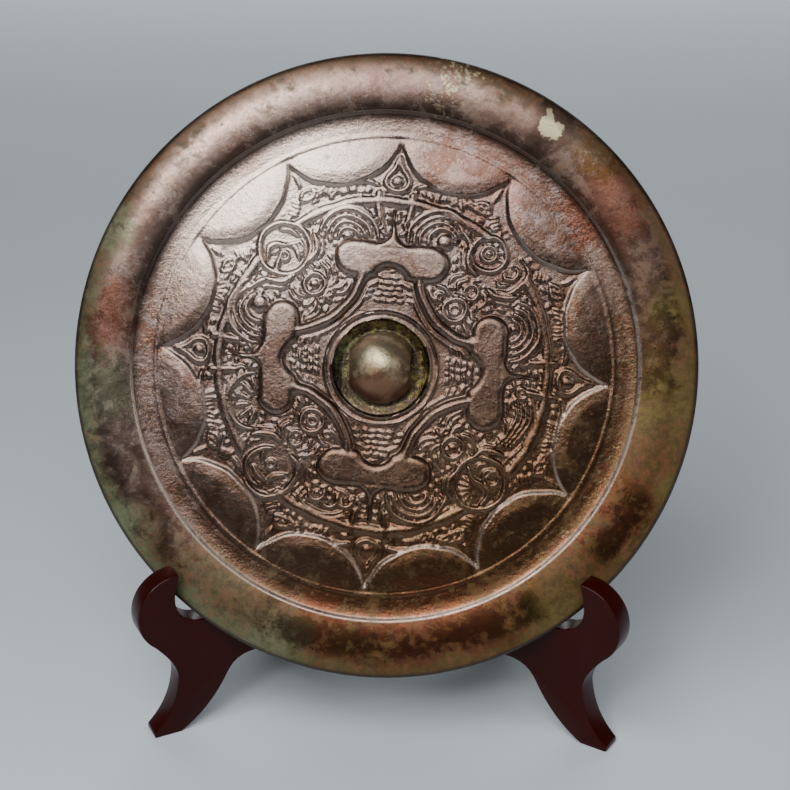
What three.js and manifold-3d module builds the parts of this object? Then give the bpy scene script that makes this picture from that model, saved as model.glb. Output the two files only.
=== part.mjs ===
// Ancient bronze mirror, cast with a twelve pointed star and a four leaf band, in a wooden stand.
// The stand is two upright boards that cross in an X and are halved into each other.
// Millimetres, +Z up, the cast side of the mirror looks towards -Y and a little upwards.
// The origin lies on the floor, under the middle of the whole.

import * as THREE from 'three';
import { mergeVertices } from 'three/addons/utils/BufferGeometryUtils.js';
import Module from 'manifold-3d';

const wasm = await Module();
wasm.setup();

// Fit between pieces that touch
const fitGap = 0.3;

// Mirror: the widths of its zones, from the edge inwards
const mirrorRadius = 100;
const rimWidth = 18.4;
const rimShoulder = 5;
const rimSlopeWidth = 3.6;
const outerBandWidth = 4.6;
const lensRingWidth = 1.5;
const starTipGap = 2.1;
const lensDepth = 12.8;
const plainBandGap = 4.4;
const plainBandWidth = 2.6;
const plainBandEdge = 0.4;

// Mirror: thicknesses, from the polished back
const edgeThickness = 2.2;
const rimThickness = 5;
const ridgeDrop = 0.4;
const outerBandThickness = 2.9;
const groundThickness = 2.2;

// Mirror: how far the cast work stands above the ground
const lensHeight = 1.7;
const lensEdgeHeight = 0.9;
const lensFall = 1.2;
const leafHeight = 1.5;
const figureHeight = 0.9;
const lineHeight = 0.6;

// Mirror: the star, the four leaf band and the knob
const starPoints = 12;
const leafCount = 4;
const patternTurn = THREE.MathUtils.degToRad(-4);
const leafHeadSpan = 37;
const leafHeadWidth = 12;
const leafHeadPlace = 33.5;
const leafNotchWidth = 8.4;
const leafNotchDepth = 3.8;
const leafSpikeLength = 7.5;
const leafArmWidth = 2.9;
const leafArmGap = 2.05;
const leafBevel = 0.9;
const knobRadius = 11;
const knobHeight = 12;
const knobMoatWidth = 4.2;
const knobRingWidth = 3.4;
const cordHoleWidth = 8;
const cordHoleHeight = 6.6;

// Mirror: its place in the stand
const mirrorLean = THREE.MathUtils.degToRad(21.6);
const mirrorCentreHeight = 116.6;
const mirrorCentreDepth = 41.1;

// Stand: two equal boards
const boardThickness = 7.8;
const boardAngle = THREE.MathUtils.degToRad(60);
const toeSpread = 146.6;
const boardLength = 142;
const boardBevel = 0.5;
const soleLength = 9;
const archHeight = 23.6;
const hookRadius = 14;
const hookCentreHeight = 44.3;
const hookCentreDepth = 11.1;
const notchRadius = 8.5;
const notchFloor = 40.1;
const notchDepth = 18.5;
const waistDepth = 9.3;
const waistHeight = 21;
const uprightHeight = 94;
const uprightWidth = 13;
const lapTop = 50;

// How finely round work is cut
const bodySides = 48;
const ringSides = 24;
const lensSides = 24;
const smallSides = 8;

// Raised work starts this far below the ground, so that it joins the disc
const groundSink = 0.8;

// Radii that follow from the widths
const rimInnerRadius = mirrorRadius - rimWidth;
const outerBandRadius = rimInnerRadius - rimSlopeWidth;
const lensRingRadius = outerBandRadius - outerBandWidth;
const starTipRadius = lensRingRadius - starTipGap;
const starValleyRadius = starTipRadius - lensDepth;
const plainBandRadius = starValleyRadius - plainBandGap - plainBandWidth / 2;
const knobRingInner = knobRadius + knobMoatWidth;
const knobRingOuter = knobRingInner + knobRingWidth;
const leafArmRadius = knobRingOuter + leafArmGap + leafArmWidth / 2;

// The figures are drawn for a star of this radius, and they grow and shrink with the star
const drawnStarRadius = 71.3;
const figureScale = starTipRadius / drawnStarRadius;

const up = new THREE.Vector3(0, 0, 1);

// A closed geometry as a solid that can be joined and cut
function solid(geometry) {
  geometry.deleteAttribute('normal');
  geometry.deleteAttribute('uv');
  const merged = mergeVertices(geometry, 1e-4);
  const index = merged.index.array;
  const corners = [];
  for (let i = 0; i < index.length; i += 3) {
    const [a, b, c] = [index[i], index[i + 1], index[i + 2]];
    if (a !== b && b !== c && c !== a) corners.push(a, b, c);
  }
  return new wasm.Manifold(new wasm.Mesh({
    numProp: 3,
    vertProperties: Float32Array.from(merged.attributes.position.array),
    triVerts: Uint32Array.from(corners),
  }));
}

// A solid back as a geometry for a mesh
function geometryOf(manifold) {
  const mesh = manifold.getMesh();
  const geometry = new THREE.BufferGeometry();
  geometry.setAttribute('position', new THREE.BufferAttribute(mesh.vertProperties, 3));
  geometry.setIndex(new THREE.BufferAttribute(mesh.triVerts, 1));
  geometry.computeVertexNormals();
  return geometry;
}

const join = (solids) => wasm.Manifold.union(solids);

// A turned form about Z from points of radius and height, given from the bottom up
function turned(points, sides) {
  const profile = points.map(([radius, height]) => new THREE.Vector2(radius, height));
  const geometry = new THREE.LatheGeometry(profile, sides);
  geometry.rotateX(Math.PI / 2);
  return geometry;
}

// A flat outline raised above the ground of the mirror, with its foot sunk in the ground
function raised(shape, height, bevel = 0) {
  const depth = groundSink + height;
  const geometry = new THREE.ExtrudeGeometry(shape, {
    depth: depth - 2 * bevel,
    bevelEnabled: bevel > 0,
    bevelThickness: bevel,
    bevelSize: bevel,
    bevelOffset: -bevel,
    bevelSegments: 1,
    curveSegments: 3,
  });
  geometry.translate(0, 0, groundThickness - groundSink + bevel);
  return geometry;
}

// A copy of a solid geometry turned about the middle of the mirror
function turnedCopy(geometry, angle) {
  return solid(geometry.clone().rotateZ(angle));
}

// Copies at equal steps round the mirror, the first one at the given angle
function allRound(geometry, count, first = 0, scale = 1) {
  const copies = [];
  geometry.scale(scale, scale, 1);
  for (let i = 0; i < count; i++) {
    copies.push(turnedCopy(geometry, patternTurn + first + (i * 2 * Math.PI) / count));
  }
  return copies;
}

// The disc with its domed rim, the slope inside it, the ring round the lenses and the plain band
function mirrorBody() {
  const ridgeThickness = rimThickness - ridgeDrop;
  const rimCrown = new THREE.QuadraticBezierCurve(
    new THREE.Vector2(mirrorRadius, edgeThickness),
    new THREE.Vector2(mirrorRadius - rimShoulder, 2 * rimThickness - (edgeThickness + ridgeThickness) / 2),
    new THREE.Vector2(rimInnerRadius, ridgeThickness),
  );
  const half = plainBandWidth / 2;
  const bandTop = groundThickness + lineHeight;
  const ringHalf = lensRingWidth / 2;
  return turned([
    [0, 0],
    [mirrorRadius, 0],
    ...rimCrown.getPoints(4).map((p) => [p.x, p.y]),
    [outerBandRadius, outerBandThickness],
    [lensRingRadius + ringHalf, outerBandThickness - 0.2],
    [lensRingRadius, outerBandThickness + 0.3],
    [lensRingRadius - ringHalf, groundThickness],
    [plainBandRadius + half + plainBandEdge, groundThickness],
    [plainBandRadius + half, bandTop],
    [plainBandRadius - half, bandTop],
    [plainBandRadius - half - plainBandEdge, groundThickness],
    [0, groundThickness],
  ], bodySides);
}

// Each hollow side of the star is an arc, on a circle about a point outside the star
const halfStep = Math.PI / starPoints;
const lensCentreRadius = (starTipRadius ** 2 - starValleyRadius ** 2)
  / (2 * (starTipRadius * Math.cos(halfStep) - starValleyRadius));
const lensRadius = lensCentreRadius - starValleyRadius;

// The pillow shaped lenses between the star and the ring
function lenses() {
  const foot = groundThickness - groundSink;
  const top = groundThickness + lensHeight;
  const edge = groundThickness + lensEdgeHeight;
  const pillow = turned([
    [0, foot],
    [lensRadius, foot],
    [lensRadius, edge],
    [lensRadius * 0.95, (edge + 2 * top) / 3],
    [lensRadius * 0.8, top],
    [0, top - lensFall],
  ], lensSides);
  pillow.translate(lensCentreRadius, 0, 0);
  const inside = solid(turned([
    [0, 0],
    [lensRingRadius, 0],
    [lensRingRadius, 2 * top],
    [0, 2 * top],
  ], bodySides));
  return join(allRound(pillow, starPoints, halfStep)).intersect(inside);
}

// The round ended head of a leaf
function leafHead() {
  const radius = leafHeadWidth / 2;
  const endX = leafHeadSpan / 2 - radius;
  const shape = new THREE.Shape();
  shape.absarc(endX, leafHeadPlace, radius, -Math.PI / 2, Math.PI / 2, false);
  shape.absarc(-endX, leafHeadPlace, radius, Math.PI / 2, (3 * Math.PI) / 2, false);
  return raised(shape, leafHeight, leafBevel);
}

// The notch under the middle of a head, wider at its mouth
function leafNotch() {
  const mouth = leafHeadPlace - leafHeadWidth / 2 - 1;
  const top = mouth + 1 + leafNotchDepth;
  const half = leafNotchWidth / 2;
  const shape = new THREE.Shape();
  shape.moveTo(-half - 2.4, mouth);
  shape.lineTo(half + 2.4, mouth);
  shape.lineTo(half, top);
  shape.lineTo(-half, top);
  return raised(shape, 2 * leafHeight);
}

// An arm from one head to the next: the part of a ring that passes the knob on the diagonal
function leafArm() {
  const rootX = (figureScale * leafHeadSpan) / 4;
  const rootY = figureScale * (leafHeadPlace - leafHeadWidth / 2) + leafArmWidth / 6;
  const acrossX = (rootY - rootX) * Math.SQRT1_2;
  const acrossY = (rootY + rootX) * Math.SQRT1_2;
  const centre = (acrossX ** 2 + acrossY ** 2 - leafArmRadius ** 2) / (2 * (acrossY - leafArmRadius));
  const radius = centre - leafArmRadius;
  const half = leafArmWidth / 2;
  const foot = groundThickness - groundSink;
  const shoulder = groundThickness + leafHeight - leafBevel;
  const crest = groundThickness + leafHeight;
  const ring = turned([
    [radius - half, foot],
    [radius + half, foot],
    [radius + half, shoulder],
    [radius + half / 3, crest],
    [radius - half / 3, crest],
    [radius - half, shoulder],
    [radius - half, foot],
  ], ringSides);
  ring.translate(0, centre, 0);
  const reach = new THREE.BoxGeometry(2 * acrossX, 2 * (acrossY - leafArmRadius) + leafArmWidth, 4 * leafHeight);
  reach.translate(0, leafArmRadius, groundThickness);
  return [ring, reach];
}

// The four leaf band: the heads with their notches, and the arms between them
function leafBand() {
  const heads = join(allRound(leafHead(), leafCount, 0, figureScale));
  const notches = join(allRound(leafNotch(), leafCount, 0, figureScale));
  const [rings, reaches] = leafArm().map((form) => allRound(form, leafCount, Math.PI / leafCount));
  const arms = rings.map((ring, i) => ring.intersect(reaches[i]));
  return join([heads.subtract(notches), ...arms]);
}

// The thin spike that rises from the head of a leaf
function leafSpike() {
  const head = leafHeadPlace + leafHeadWidth / 2;
  const foot = head - 2;
  const shape = new THREE.Shape();
  shape.moveTo(-3, foot);
  shape.quadraticCurveTo(-0.5, head + 0.6, 0, head + leafSpikeLength);
  shape.quadraticCurveTo(0.5, head + 0.6, 3, foot);
  return raised(shape, leafHeight - 0.5);
}

// The ring round the knob, with the low moat inside it
function knobRing() {
  const crest = groundThickness + figureHeight;
  const foot = groundThickness - groundSink;
  return solid(turned([
    [knobRingInner, foot],
    [knobRingOuter, foot],
    [knobRingOuter, groundThickness],
    [knobRingOuter - 0.7, crest],
    [knobRingInner + 0.7, crest],
    [knobRingInner, groundThickness],
    [knobRingInner, foot],
  ], ringSides));
}

// The domed knob, pierced from side to side for a cord
function knob() {
  const dome = [];
  const rings = 5;
  for (let i = 0; i <= rings; i++) {
    const angle = (i / rings) * (Math.PI / 2);
    dome.push([knobRadius * Math.cos(angle), groundThickness + knobHeight * Math.sin(angle)]);
  }
  dome[rings][0] = 0;
  const foot = groundThickness - groundSink;
  return solid(turned([[0, foot], [knobRadius, foot], ...dome], ringSides));
}

function cordHole() {
  const half = cordHoleWidth / 2;
  const section = new THREE.Shape();
  section.moveTo(-half, 0);
  section.lineTo(half, 0);
  section.lineTo(half, cordHoleHeight - half);
  section.absarc(0, cordHoleHeight - half, half, 0, Math.PI);
  section.lineTo(-half, 0);
  const length = 3 * knobRadius;
  const geometry = new THREE.ExtrudeGeometry(section, { depth: length, bevelEnabled: false, curveSegments: 8 });
  geometry.translate(0, 0, -length / 2);
  geometry.rotateX(Math.PI / 2);
  geometry.rotateZ(Math.PI / 2);
  geometry.translate(0, 0, groundThickness);
  return solid(geometry);
}

// A straight raised stroke between two points
function stroke(x0, y0, x1, y1, width, height) {
  const length = Math.hypot(x1 - x0, y1 - y0);
  const geometry = new THREE.BoxGeometry(length, width, groundSink + height);
  geometry.rotateZ(Math.atan2(y1 - y0, x1 - x0));
  geometry.translate((x0 + x1) / 2, (y0 + y1) / 2, groundThickness + (height - groundSink) / 2);
  return geometry;
}

// A raised crescent between two arcs that meet in points
function crescent(x, y, radius, thickness, from, to, height) {
  const steps = 4;
  const outer = [];
  const inner = [];
  for (let i = 0; i <= steps; i++) {
    const share = i / steps;
    const angle = from + (to - from) * share;
    const depth = 0.25 + thickness * Math.sin(Math.PI * share);
    outer.push(new THREE.Vector2(x + radius * Math.cos(angle), y + radius * Math.sin(angle)));
    inner.push(new THREE.Vector2(x + (radius - depth) * Math.cos(angle), y + (radius - depth) * Math.sin(angle)));
  }
  return raised(new THREE.Shape([...outer, ...inner.reverse()]), height);
}

// A low round boss
function boss(x, y, radius, height, sides = smallSides) {
  const geometry = turned([
    [0, groundThickness - groundSink],
    [radius, groundThickness - groundSink],
    [radius, groundThickness],
    [radius * 0.6, groundThickness + height],
    [0, groundThickness + height],
  ], sides);
  geometry.translate(x, y, 0);
  return geometry;
}

// A raised ring with a rounded crest
function ringLine(x, y, radius, width, height) {
  const foot = groundThickness - groundSink;
  const geometry = turned([
    [radius - width / 2, foot],
    [radius + width / 2, foot],
    [radius + width / 2, groundThickness],
    [radius, groundThickness + height],
    [radius - width / 2, groundThickness],
    [radius - width / 2, foot],
  ], smallSides + 2);
  geometry.translate(x, y, 0);
  return geometry;
}

// A pair of birds faces each other over every leaf
function bird(side) {
  const wingFrom = side > 0 ? 0.06 * Math.PI : 0.94 * Math.PI;
  const wingTo = side > 0 ? 0.9 * Math.PI : 0.1 * Math.PI;
  const forms = [
    boss(side * 5, 45, 2.2, figureHeight),
    crescent(side * 14, 38.6, 10.2, 2.8, wingFrom, wingTo, figureHeight),
    stroke(side * 3.6, 44, side * 1.2, 42, 1.2, lineHeight),
  ];
  const feathers = 2;
  for (let i = 0; i < feathers; i++) {
    const x = side * (22.4 + 1.7 * i);
    forms.push(stroke(x, 46.4 - 1.6 * i, x + side * 2.4, 43.6 - 1.6 * i, 0.8, lineHeight));
  }
  return forms;
}

// A drop with a dot in it fills the four star points over the leaves
function drop() {
  const shape = new THREE.Shape();
  shape.moveTo(0, 66.5);
  shape.quadraticCurveTo(1.2, 62.5, 3.1, 60.4);
  shape.absarc(0, 59, 3.4, 0.42, Math.PI - 0.42, true);
  shape.quadraticCurveTo(-1.2, 62.5, 0, 66.5);
  return [raised(shape, figureHeight), boss(0, 59, 1.1, figureHeight + 0.5)];
}

// The roundel with a coiled beast on each diagonal, and the mask below it
function roundel() {
  const forms = [
    ringLine(0, 49.4, 8.4, 1.5, figureHeight),
    boss(-2.6, 47.8, 2.6, figureHeight),
    crescent(0.6, 49, 5.8, 2.2, -0.35 * Math.PI, 0.8 * Math.PI, figureHeight),
    ringLine(0, 34.6, 3.4, 1.3, figureHeight),
    boss(0, 28.4, 3.4, figureHeight),
  ];
  for (const side of [-1, 1]) {
    const out = side > 0 ? 0 : Math.PI;
    forms.push(crescent(side * 5.6, 26.4, 4.2, 1.3, out + side * 0.1, Math.PI / 2, lineHeight));
  }
  return forms;
}

// Rows of shallow strokes fill the four fields beside the knob
function strokeField() {
  const forms = [stroke(0, 21.4, 0, 29.4, 0.8, lineHeight)];
  const rows = 3;
  for (let i = 0; i < rows; i++) {
    const y = 22.6 + 2.6 * i;
    const reach = 3.4 - 0.5 * i;
    forms.push(stroke(-reach, y, reach, y, 0.8, lineHeight));
  }
  return forms;
}

// Short strokes stand in groups in the hollows of the star
function edgeStrokes() {
  const forms = [];
  const strokes = 2;
  for (let i = 0; i < strokes; i++) {
    const angle = halfStep + (i - (strokes - 1) / 2) * 0.05;
    const low = plainBandRadius + plainBandWidth / 2 + 0.8;
    const high = starValleyRadius - 2;
    forms.push(stroke(
      low * Math.cos(angle), low * Math.sin(angle),
      high * Math.cos(angle + 0.01), high * Math.sin(angle + 0.01), 0.6, lineHeight,
    ));
  }
  return forms;
}

function bronzeMirror() {
  const forms = [solid(mirrorBody()), lenses(), leafBand(), knobRing()];
  const overLeaves = [leafSpike(), ...bird(1), ...bird(-1), ...drop(), ...strokeField()];
  for (const form of overLeaves) forms.push(...allRound(form, leafCount, 0, figureScale));
  for (const form of roundel()) forms.push(...allRound(form, leafCount, Math.PI / leafCount, figureScale));
  for (const form of edgeStrokes()) forms.push(...allRound(form, starPoints));
  forms.push(knob().subtract(cordHole()));
  return join(forms);
}

// Where the back of the mirror crosses the inner face of a board, at a distance behind the toe
const backSlope = Math.cos(boardAngle) / Math.tan(mirrorLean);
const backStart = mirrorCentreHeight - mirrorCentreDepth / Math.tan(mirrorLean);
const backHeight = (distance) => backStart + backSlope * distance;
const backDistance = (height) => (height - backStart) / backSlope + fitGap / Math.cos(boardAngle);

// Side view of a board: distance behind the toe, and height
function boardOutline() {
  const shape = new THREE.Shape();
  const hookBottom = -0.72 * Math.PI;
  const rearLeg = boardLength - soleLength;
  const archSpring = 36;
  const frontEdge = backDistance(notchFloor);
  const frontTop = backDistance(uprightHeight);
  shape.moveTo(0, 0);
  shape.lineTo(soleLength, 0);
  shape.quadraticCurveTo(19.5, 5.5, 26.3, archHeight - 5.8);
  shape.quadraticCurveTo(29.3, archHeight - 0.2, archSpring, archHeight);
  shape.lineTo(boardLength - archSpring, archHeight);
  shape.quadraticCurveTo(boardLength - 29.3, archHeight - 0.2, boardLength - 26.3, archHeight - 5.8);
  shape.quadraticCurveTo(boardLength - 19.5, 5.5, rearLeg, 0);
  shape.lineTo(boardLength, 0);
  shape.quadraticCurveTo(boardLength - 8, 8, boardLength - 9, 20);
  shape.quadraticCurveTo(boardLength - 10, 38, boardLength - 26, lapTop - 4);
  shape.quadraticCurveTo(boardLength - 32, lapTop, boardLength - 42, lapTop);
  shape.lineTo(frontTop + uprightWidth + 6, lapTop);
  shape.quadraticCurveTo(frontTop + uprightWidth - 4, lapTop + 2, frontTop + uprightWidth - 2, uprightHeight - 12);
  shape.quadraticCurveTo(frontTop + uprightWidth, uprightHeight + 3, frontTop + 4, uprightHeight + 2);
  shape.quadraticCurveTo(frontTop + 1, uprightHeight + 1.4, frontTop, uprightHeight);
  shape.lineTo(frontEdge, notchFloor);
  shape.lineTo(notchDepth, notchFloor);
  shape.absarc(notchDepth, notchFloor + notchRadius, notchRadius, -Math.PI / 2, -Math.PI, true);
  shape.quadraticCurveTo(notchDepth - notchRadius, 53, hookCentreDepth + 0.7, hookCentreHeight + hookRadius);
  shape.absarc(hookCentreDepth, hookCentreHeight, hookRadius, Math.PI / 2, 2 * Math.PI + hookBottom, false);
  shape.quadraticCurveTo(waistDepth, 26, waistDepth, waistHeight);
  shape.quadraticCurveTo(waistDepth - 1, 9, 0, 1.8);
  shape.lineTo(0, 0);
  return shape;
}

// Puts a form drawn flat as distance and height into its place on one side of the stand
function stand(geometry, side) {
  const back = new THREE.Vector3(-side * Math.sin(boardAngle), Math.cos(boardAngle), 0);
  const out = new THREE.Vector3(side * Math.cos(boardAngle), Math.sin(boardAngle), 0);
  const place = new THREE.Matrix4();
  if (side < 0) {
    place.makeBasis(back, up, new THREE.Vector3().crossVectors(back, up));
    geometry.translate(0, 0, -boardThickness);
  } else {
    place.makeBasis(back, up, out);
  }
  place.setPosition(side * toeSpread / 2, 0, 0);
  return geometry.applyMatrix4(place);
}

function plainBoard(side) {
  const geometry = new THREE.ExtrudeGeometry(boardOutline(), {
    depth: boardThickness - 2 * boardBevel,
    bevelEnabled: true,
    bevelThickness: boardBevel,
    bevelSize: boardBevel,
    bevelOffset: -boardBevel,
    bevelSegments: 1,
    curveSegments: 4,
  });
  geometry.translate(0, 0, boardBevel);
  return solid(stand(geometry, side));
}

// The room that one board needs in the other, above or below the middle of the lap
function lapRoom(side, above) {
  const middle = (archHeight + lapTop) / 2;
  const from = above ? middle - fitGap / 2 : -lapTop;
  const to = above ? 2 * lapTop : middle + fitGap / 2;
  const crossing = toeSpread / 2 / Math.sin(boardAngle);
  const reach = 2 * boardThickness;
  const room = new THREE.BoxGeometry(2 * reach, to - from, boardThickness + 2 * fitGap);
  room.translate(crossing, (from + to) / 2, boardThickness / 2);
  return solid(stand(room, side));
}

// Puts a form drawn on the face of the mirror into its leaning place
function lean(geometry) {
  geometry.rotateX(Math.PI / 2 - mirrorLean);
  geometry.translate(0, mirrorCentreDepth, mirrorCentreHeight);
  return geometry;
}

// The room that the edge of the mirror takes in the notches, with the gap round it
function mirrorSeat() {
  return solid(lean(turned([
    [0, -fitGap],
    [mirrorRadius + fitGap, -fitGap],
    [mirrorRadius + fitGap, edgeThickness + fitGap],
    [mirrorRadius - rimShoulder, rimThickness + fitGap],
    [0, rimThickness + fitGap],
  ], bodySides)));
}

function standBoard(side) {
  return plainBoard(side).subtract(lapRoom(-side, side > 0)).subtract(mirrorSeat());
}

const bronze = new THREE.MeshStandardMaterial({ color: 0x6b5148, roughness: 0.38, metalness: 0.85 });
const lacquer = new THREE.MeshStandardMaterial({ color: 0x3a1512, roughness: 0.3, metalness: 0 });

function named(name, manifold, material) {
  const mesh = new THREE.Mesh(geometryOf(manifold), material.clone());
  mesh.name = name;
  return mesh;
}

const mirror = named('mirror', bronzeMirror(), bronze);
mirror.rotation.x = Math.PI / 2 - mirrorLean;
mirror.position.set(0, mirrorCentreDepth, mirrorCentreHeight);

const model = new THREE.Group();
model.add(mirror);
model.add(named('stand_board_left', standBoard(-1), lacquer));
model.add(named('stand_board_right', standBoard(1), lacquer));

// The origin goes under the middle of the whole
model.updateMatrixWorld(true);
const box = new THREE.Box3().setFromObject(model, true);
const middle = box.getCenter(new THREE.Vector3());
model.position.set(-middle.x, -middle.y, -box.min.z);
model.updateMatrixWorld(true);

export default model;
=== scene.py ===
"""Looks for the ancient bronze mirror and its stand of two crossed boards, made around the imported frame.

The cast face and the outlines of the boards are worked out in millimetres and turned into metres when their
meshes are made.
"""

import math

import bmesh
import bpy
import numpy as np
from mathutils import Matrix, Vector


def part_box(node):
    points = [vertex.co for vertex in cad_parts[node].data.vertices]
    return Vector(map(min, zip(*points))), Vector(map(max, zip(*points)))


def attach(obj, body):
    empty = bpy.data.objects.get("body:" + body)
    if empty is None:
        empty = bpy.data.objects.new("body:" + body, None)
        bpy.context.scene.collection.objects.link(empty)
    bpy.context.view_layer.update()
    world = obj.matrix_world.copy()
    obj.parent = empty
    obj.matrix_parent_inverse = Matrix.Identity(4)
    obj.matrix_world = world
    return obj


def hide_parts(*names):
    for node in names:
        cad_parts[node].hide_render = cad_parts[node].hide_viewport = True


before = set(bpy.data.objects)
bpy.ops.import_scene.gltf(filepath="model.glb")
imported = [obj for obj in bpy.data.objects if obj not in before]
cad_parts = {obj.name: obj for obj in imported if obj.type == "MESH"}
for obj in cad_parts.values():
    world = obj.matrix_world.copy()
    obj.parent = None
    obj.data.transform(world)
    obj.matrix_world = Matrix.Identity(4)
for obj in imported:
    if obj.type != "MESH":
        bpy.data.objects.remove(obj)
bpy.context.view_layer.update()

bl_info = {
    "name": "Ancient Bronze Mirror",
    "version": (1, 0, 0),
    "blender": (4, 5, 0),
    "location": "View3D > Sidebar > Mirror",
    "description": "Makes a cast bronze mirror with its lacquered wooden stand",
    "category": "Object",
}

MM = 0.001

# The place of the mirror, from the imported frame
MIRROR_LOW, MIRROR_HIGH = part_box("mirror")
LEAN = math.radians(21.6)
EDGE_THICKNESS = 2.2
MIRROR_RADIUS = (MIRROR_HIGH.x - MIRROR_LOW.x) / 2 / MM
MIRROR_CENTRE = Vector((
    (MIRROR_HIGH.x + MIRROR_LOW.x) / 2,
    MIRROR_HIGH.y - MIRROR_RADIUS * MM * math.sin(LEAN),
    MIRROR_HIGH.z - (MIRROR_RADIUS * math.cos(LEAN) + EDGE_THICKNESS * math.sin(LEAN)) * MM,
))

# Zones of the cast face in millimetres, from the edge inwards
RIM_INNER = MIRROR_RADIUS - 18.4
OUTER_BAND = RIM_INNER - 3.6
LENS_RING = OUTER_BAND - 4.6
STAR_TIP = LENS_RING - 2.1
STAR_VALLEY = STAR_TIP - 12.8
PLAIN_BAND = STAR_VALLEY - 5.7
PLAIN_BAND_WIDTH = 2.6
RING_OUTER = 18.6
RING_INNER = 15.2
KNOB_RADIUS = 11.7

# The leaf band and the roundels in millimetres: distances from the knob, and widths
ARM_RADIUS = 22.1
HEAD_PLACE = 33.5
HEAD_SPAN = 37
HEAD_WIDTH = 12
SPIKE_ROOT = 38
SPIKE_TIP = 50.5
ARCH_PLACE = 26.2
ARCH_HALF_WIDTH = 5.3
ARM_HALF_WIDTH = 1.8
ROUNDEL_PLACE = 49.2
ROUNDEL_RADIUS = 8.6
MARK_PITCH = 2.5

# Thicknesses of the casting in millimetres, from its polished back
RIM_THICKNESS = 5
RIM_CREST = 9.5
RIM_FALL = 0.85
BAND_THICKNESS = 2.9
BAND_LOW = 2.72
LENS_RIDGE = 2.92
GROUND = 2.2

# Heights of the relief in millimetres, over what is round it
KNOB_HEIGHT = 12
MOAT_DEPTH = 0.7
RING_HEIGHT = 0.5
RING_LINES = 0.32
LEAF_HEIGHT = 1.45
LEAF_OUTLINE = 0.4
LENS_HEIGHT = 1.5
PLAIN_BAND_HEIGHT = 0.8
BAND_EDGE_RISE = 0.65
BEAD_HEIGHT = 0.12
MARK_HEIGHT = 0.32

# The cord tunnel in millimetres: place from left to right, half its width and its height
TUNNEL_SECTIONS = ((-12.5, 6.0, 7.4), (-9.5, 5.6, 7.2), (-8.7, 4.0, 6.6),
                   (8.7, 4.0, 6.6), (9.5, 5.6, 7.2), (12.5, 6.0, 7.4))

STAR_POINTS = 12
LEAVES = 4
PATTERN_TURN = math.radians(-4)
KNOB_SHIFT = (-0.5, -0.7)

# The lines of the figures: what their width is multiplied by, and how far they stray from their place
LINE_FULLNESS = 1.3
LONG_SWAY, SHORT_SWAY = 0.28, 0.14
SWAY_END = 76

# How far round a point its surroundings count as higher or lower, in millimetres
HOLLOW_REACH = 0.8

# Edges sharper than this many degrees aren't shaded smooth
SHARP_BRONZE, SHARP_WOOD = 55, 24

# The boards of the stand in millimetres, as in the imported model: distances behind the toe, and heights
BOARD_THICKNESS = 7.8
BOARD_LENGTH = 142
BOARD_ANGLE = math.radians(60)
TOE_SPREAD = 146.6
SOLE_LENGTH = 9
ARCH_HEIGHT = 23.6
BOARD_TOP = 50
WAIST_DEPTH, WAIST_HEIGHT = 9.3, 21
HOOK_DEPTH, HOOK_HEIGHT, HOOK_RADIUS = 11.1, 44.3, 13.8
NOTCH_DEPTH, NOTCH_FLOOR, NOTCH_RADIUS = 18.5, 40.1, 8.5
UPRIGHT_HEIGHT, UPRIGHT_WIDTH = 94, 13
ARRIS = 0.8
FIT_GAP = 0.3
MIRROR_BEHIND_TOES = 41.1
TOE_LINE = MIRROR_CENTRE.y / MM - MIRROR_BEHIND_TOES

# Patches on the cast face: x, y and reach in millimetres, and strength
RED_PATCHES = ((-88, 14, 17, 1), (70, 52, 17, 1), (20, -86, 26, 1), (-20, -80, 12, 1), (-46, 66, 9, 0.5),
               (30, 58, 20, 0.35))
OLIVE_PATCHES = ((-94, 42, 16, 1), (-80, -54, 12, 1), (-58, -78, 24, 1), (92, -24, 20, 1), (62, -70, 15, 1))
GREEN_PATCHES = ((-90, 44, 11, 1), (-91, -8, 16, 1), (-84, -50, 9, 1), (-34, -88, 15, 1),
                 (89, -8, 18, 1), (90, 20, 10, 1), (91, -38, 6, 1), (58, -78, 14, 1))
# Painted shade on the leaf pads at the left, right and bottom: x, y, reach and strength
PAINTED_SHADE_ON_LEAVES = ((-37, -1, 20, 1), (34, -5, 20, 1), (-2, -38, 20, 0.5))
# Middle and reach in millimetres of the silvery skin with its painted sheen at the upper left
SHEEN_PLACE = (-42, 60, 0)
SHEEN_REACH = 55

# The viewing angle of the photograph
PHOTO_PIXELS = 790
FOCAL_PIXELS = 1600
CAMERA_PLACE = (0.0332, -0.47206, 0.3108)
CAMERA_AIM = (-0.0646, 0.9236, -0.3778)
CAMERA_ROLL = math.radians(-0.62)
CAMERA_SHIFT = (0.01506, -0.0368)
SENSOR_WIDTH = 36

WARM_WHITE = (1.0, 0.98, 0.96)
AMBER_WHITE = (1.0, 0.97, 0.92)
COOL_WHITE = (0.95, 0.98, 1.0)
ROOM_STRENGTH = 0.14


def smooth(t):
    """Runs from 0 to 1 with level ends."""
    t = np.clip(t, 0, 1)
    return t * t * (3 - 2 * t)


def blend_min(a, b, width):
    """The smaller of two distances, rounded where they are alike."""
    share = np.clip(0.5 + 0.5 * (b - a) / width, 0, 1)
    return b + (a - b) * share - width * share * (1 - share)


def curve_through(points, steps=6):
    """A smooth path through a few given points."""
    points = np.array(points, float)
    ends = np.vstack([2 * points[0] - points[1], points, 2 * points[-1] - points[-2]])
    path = []
    for a, b, c, d in zip(ends, ends[1:], ends[2:], ends[3:]):
        for t in np.arange(steps) / steps:
            path.append(0.5 * (2 * b + (c - a) * t + (2 * a - 5 * b + 4 * c - d) * t**2
                               + (3 * b - a - 3 * c + d) * t**3))
    path.append(points[-1])
    return np.array(path)


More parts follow.
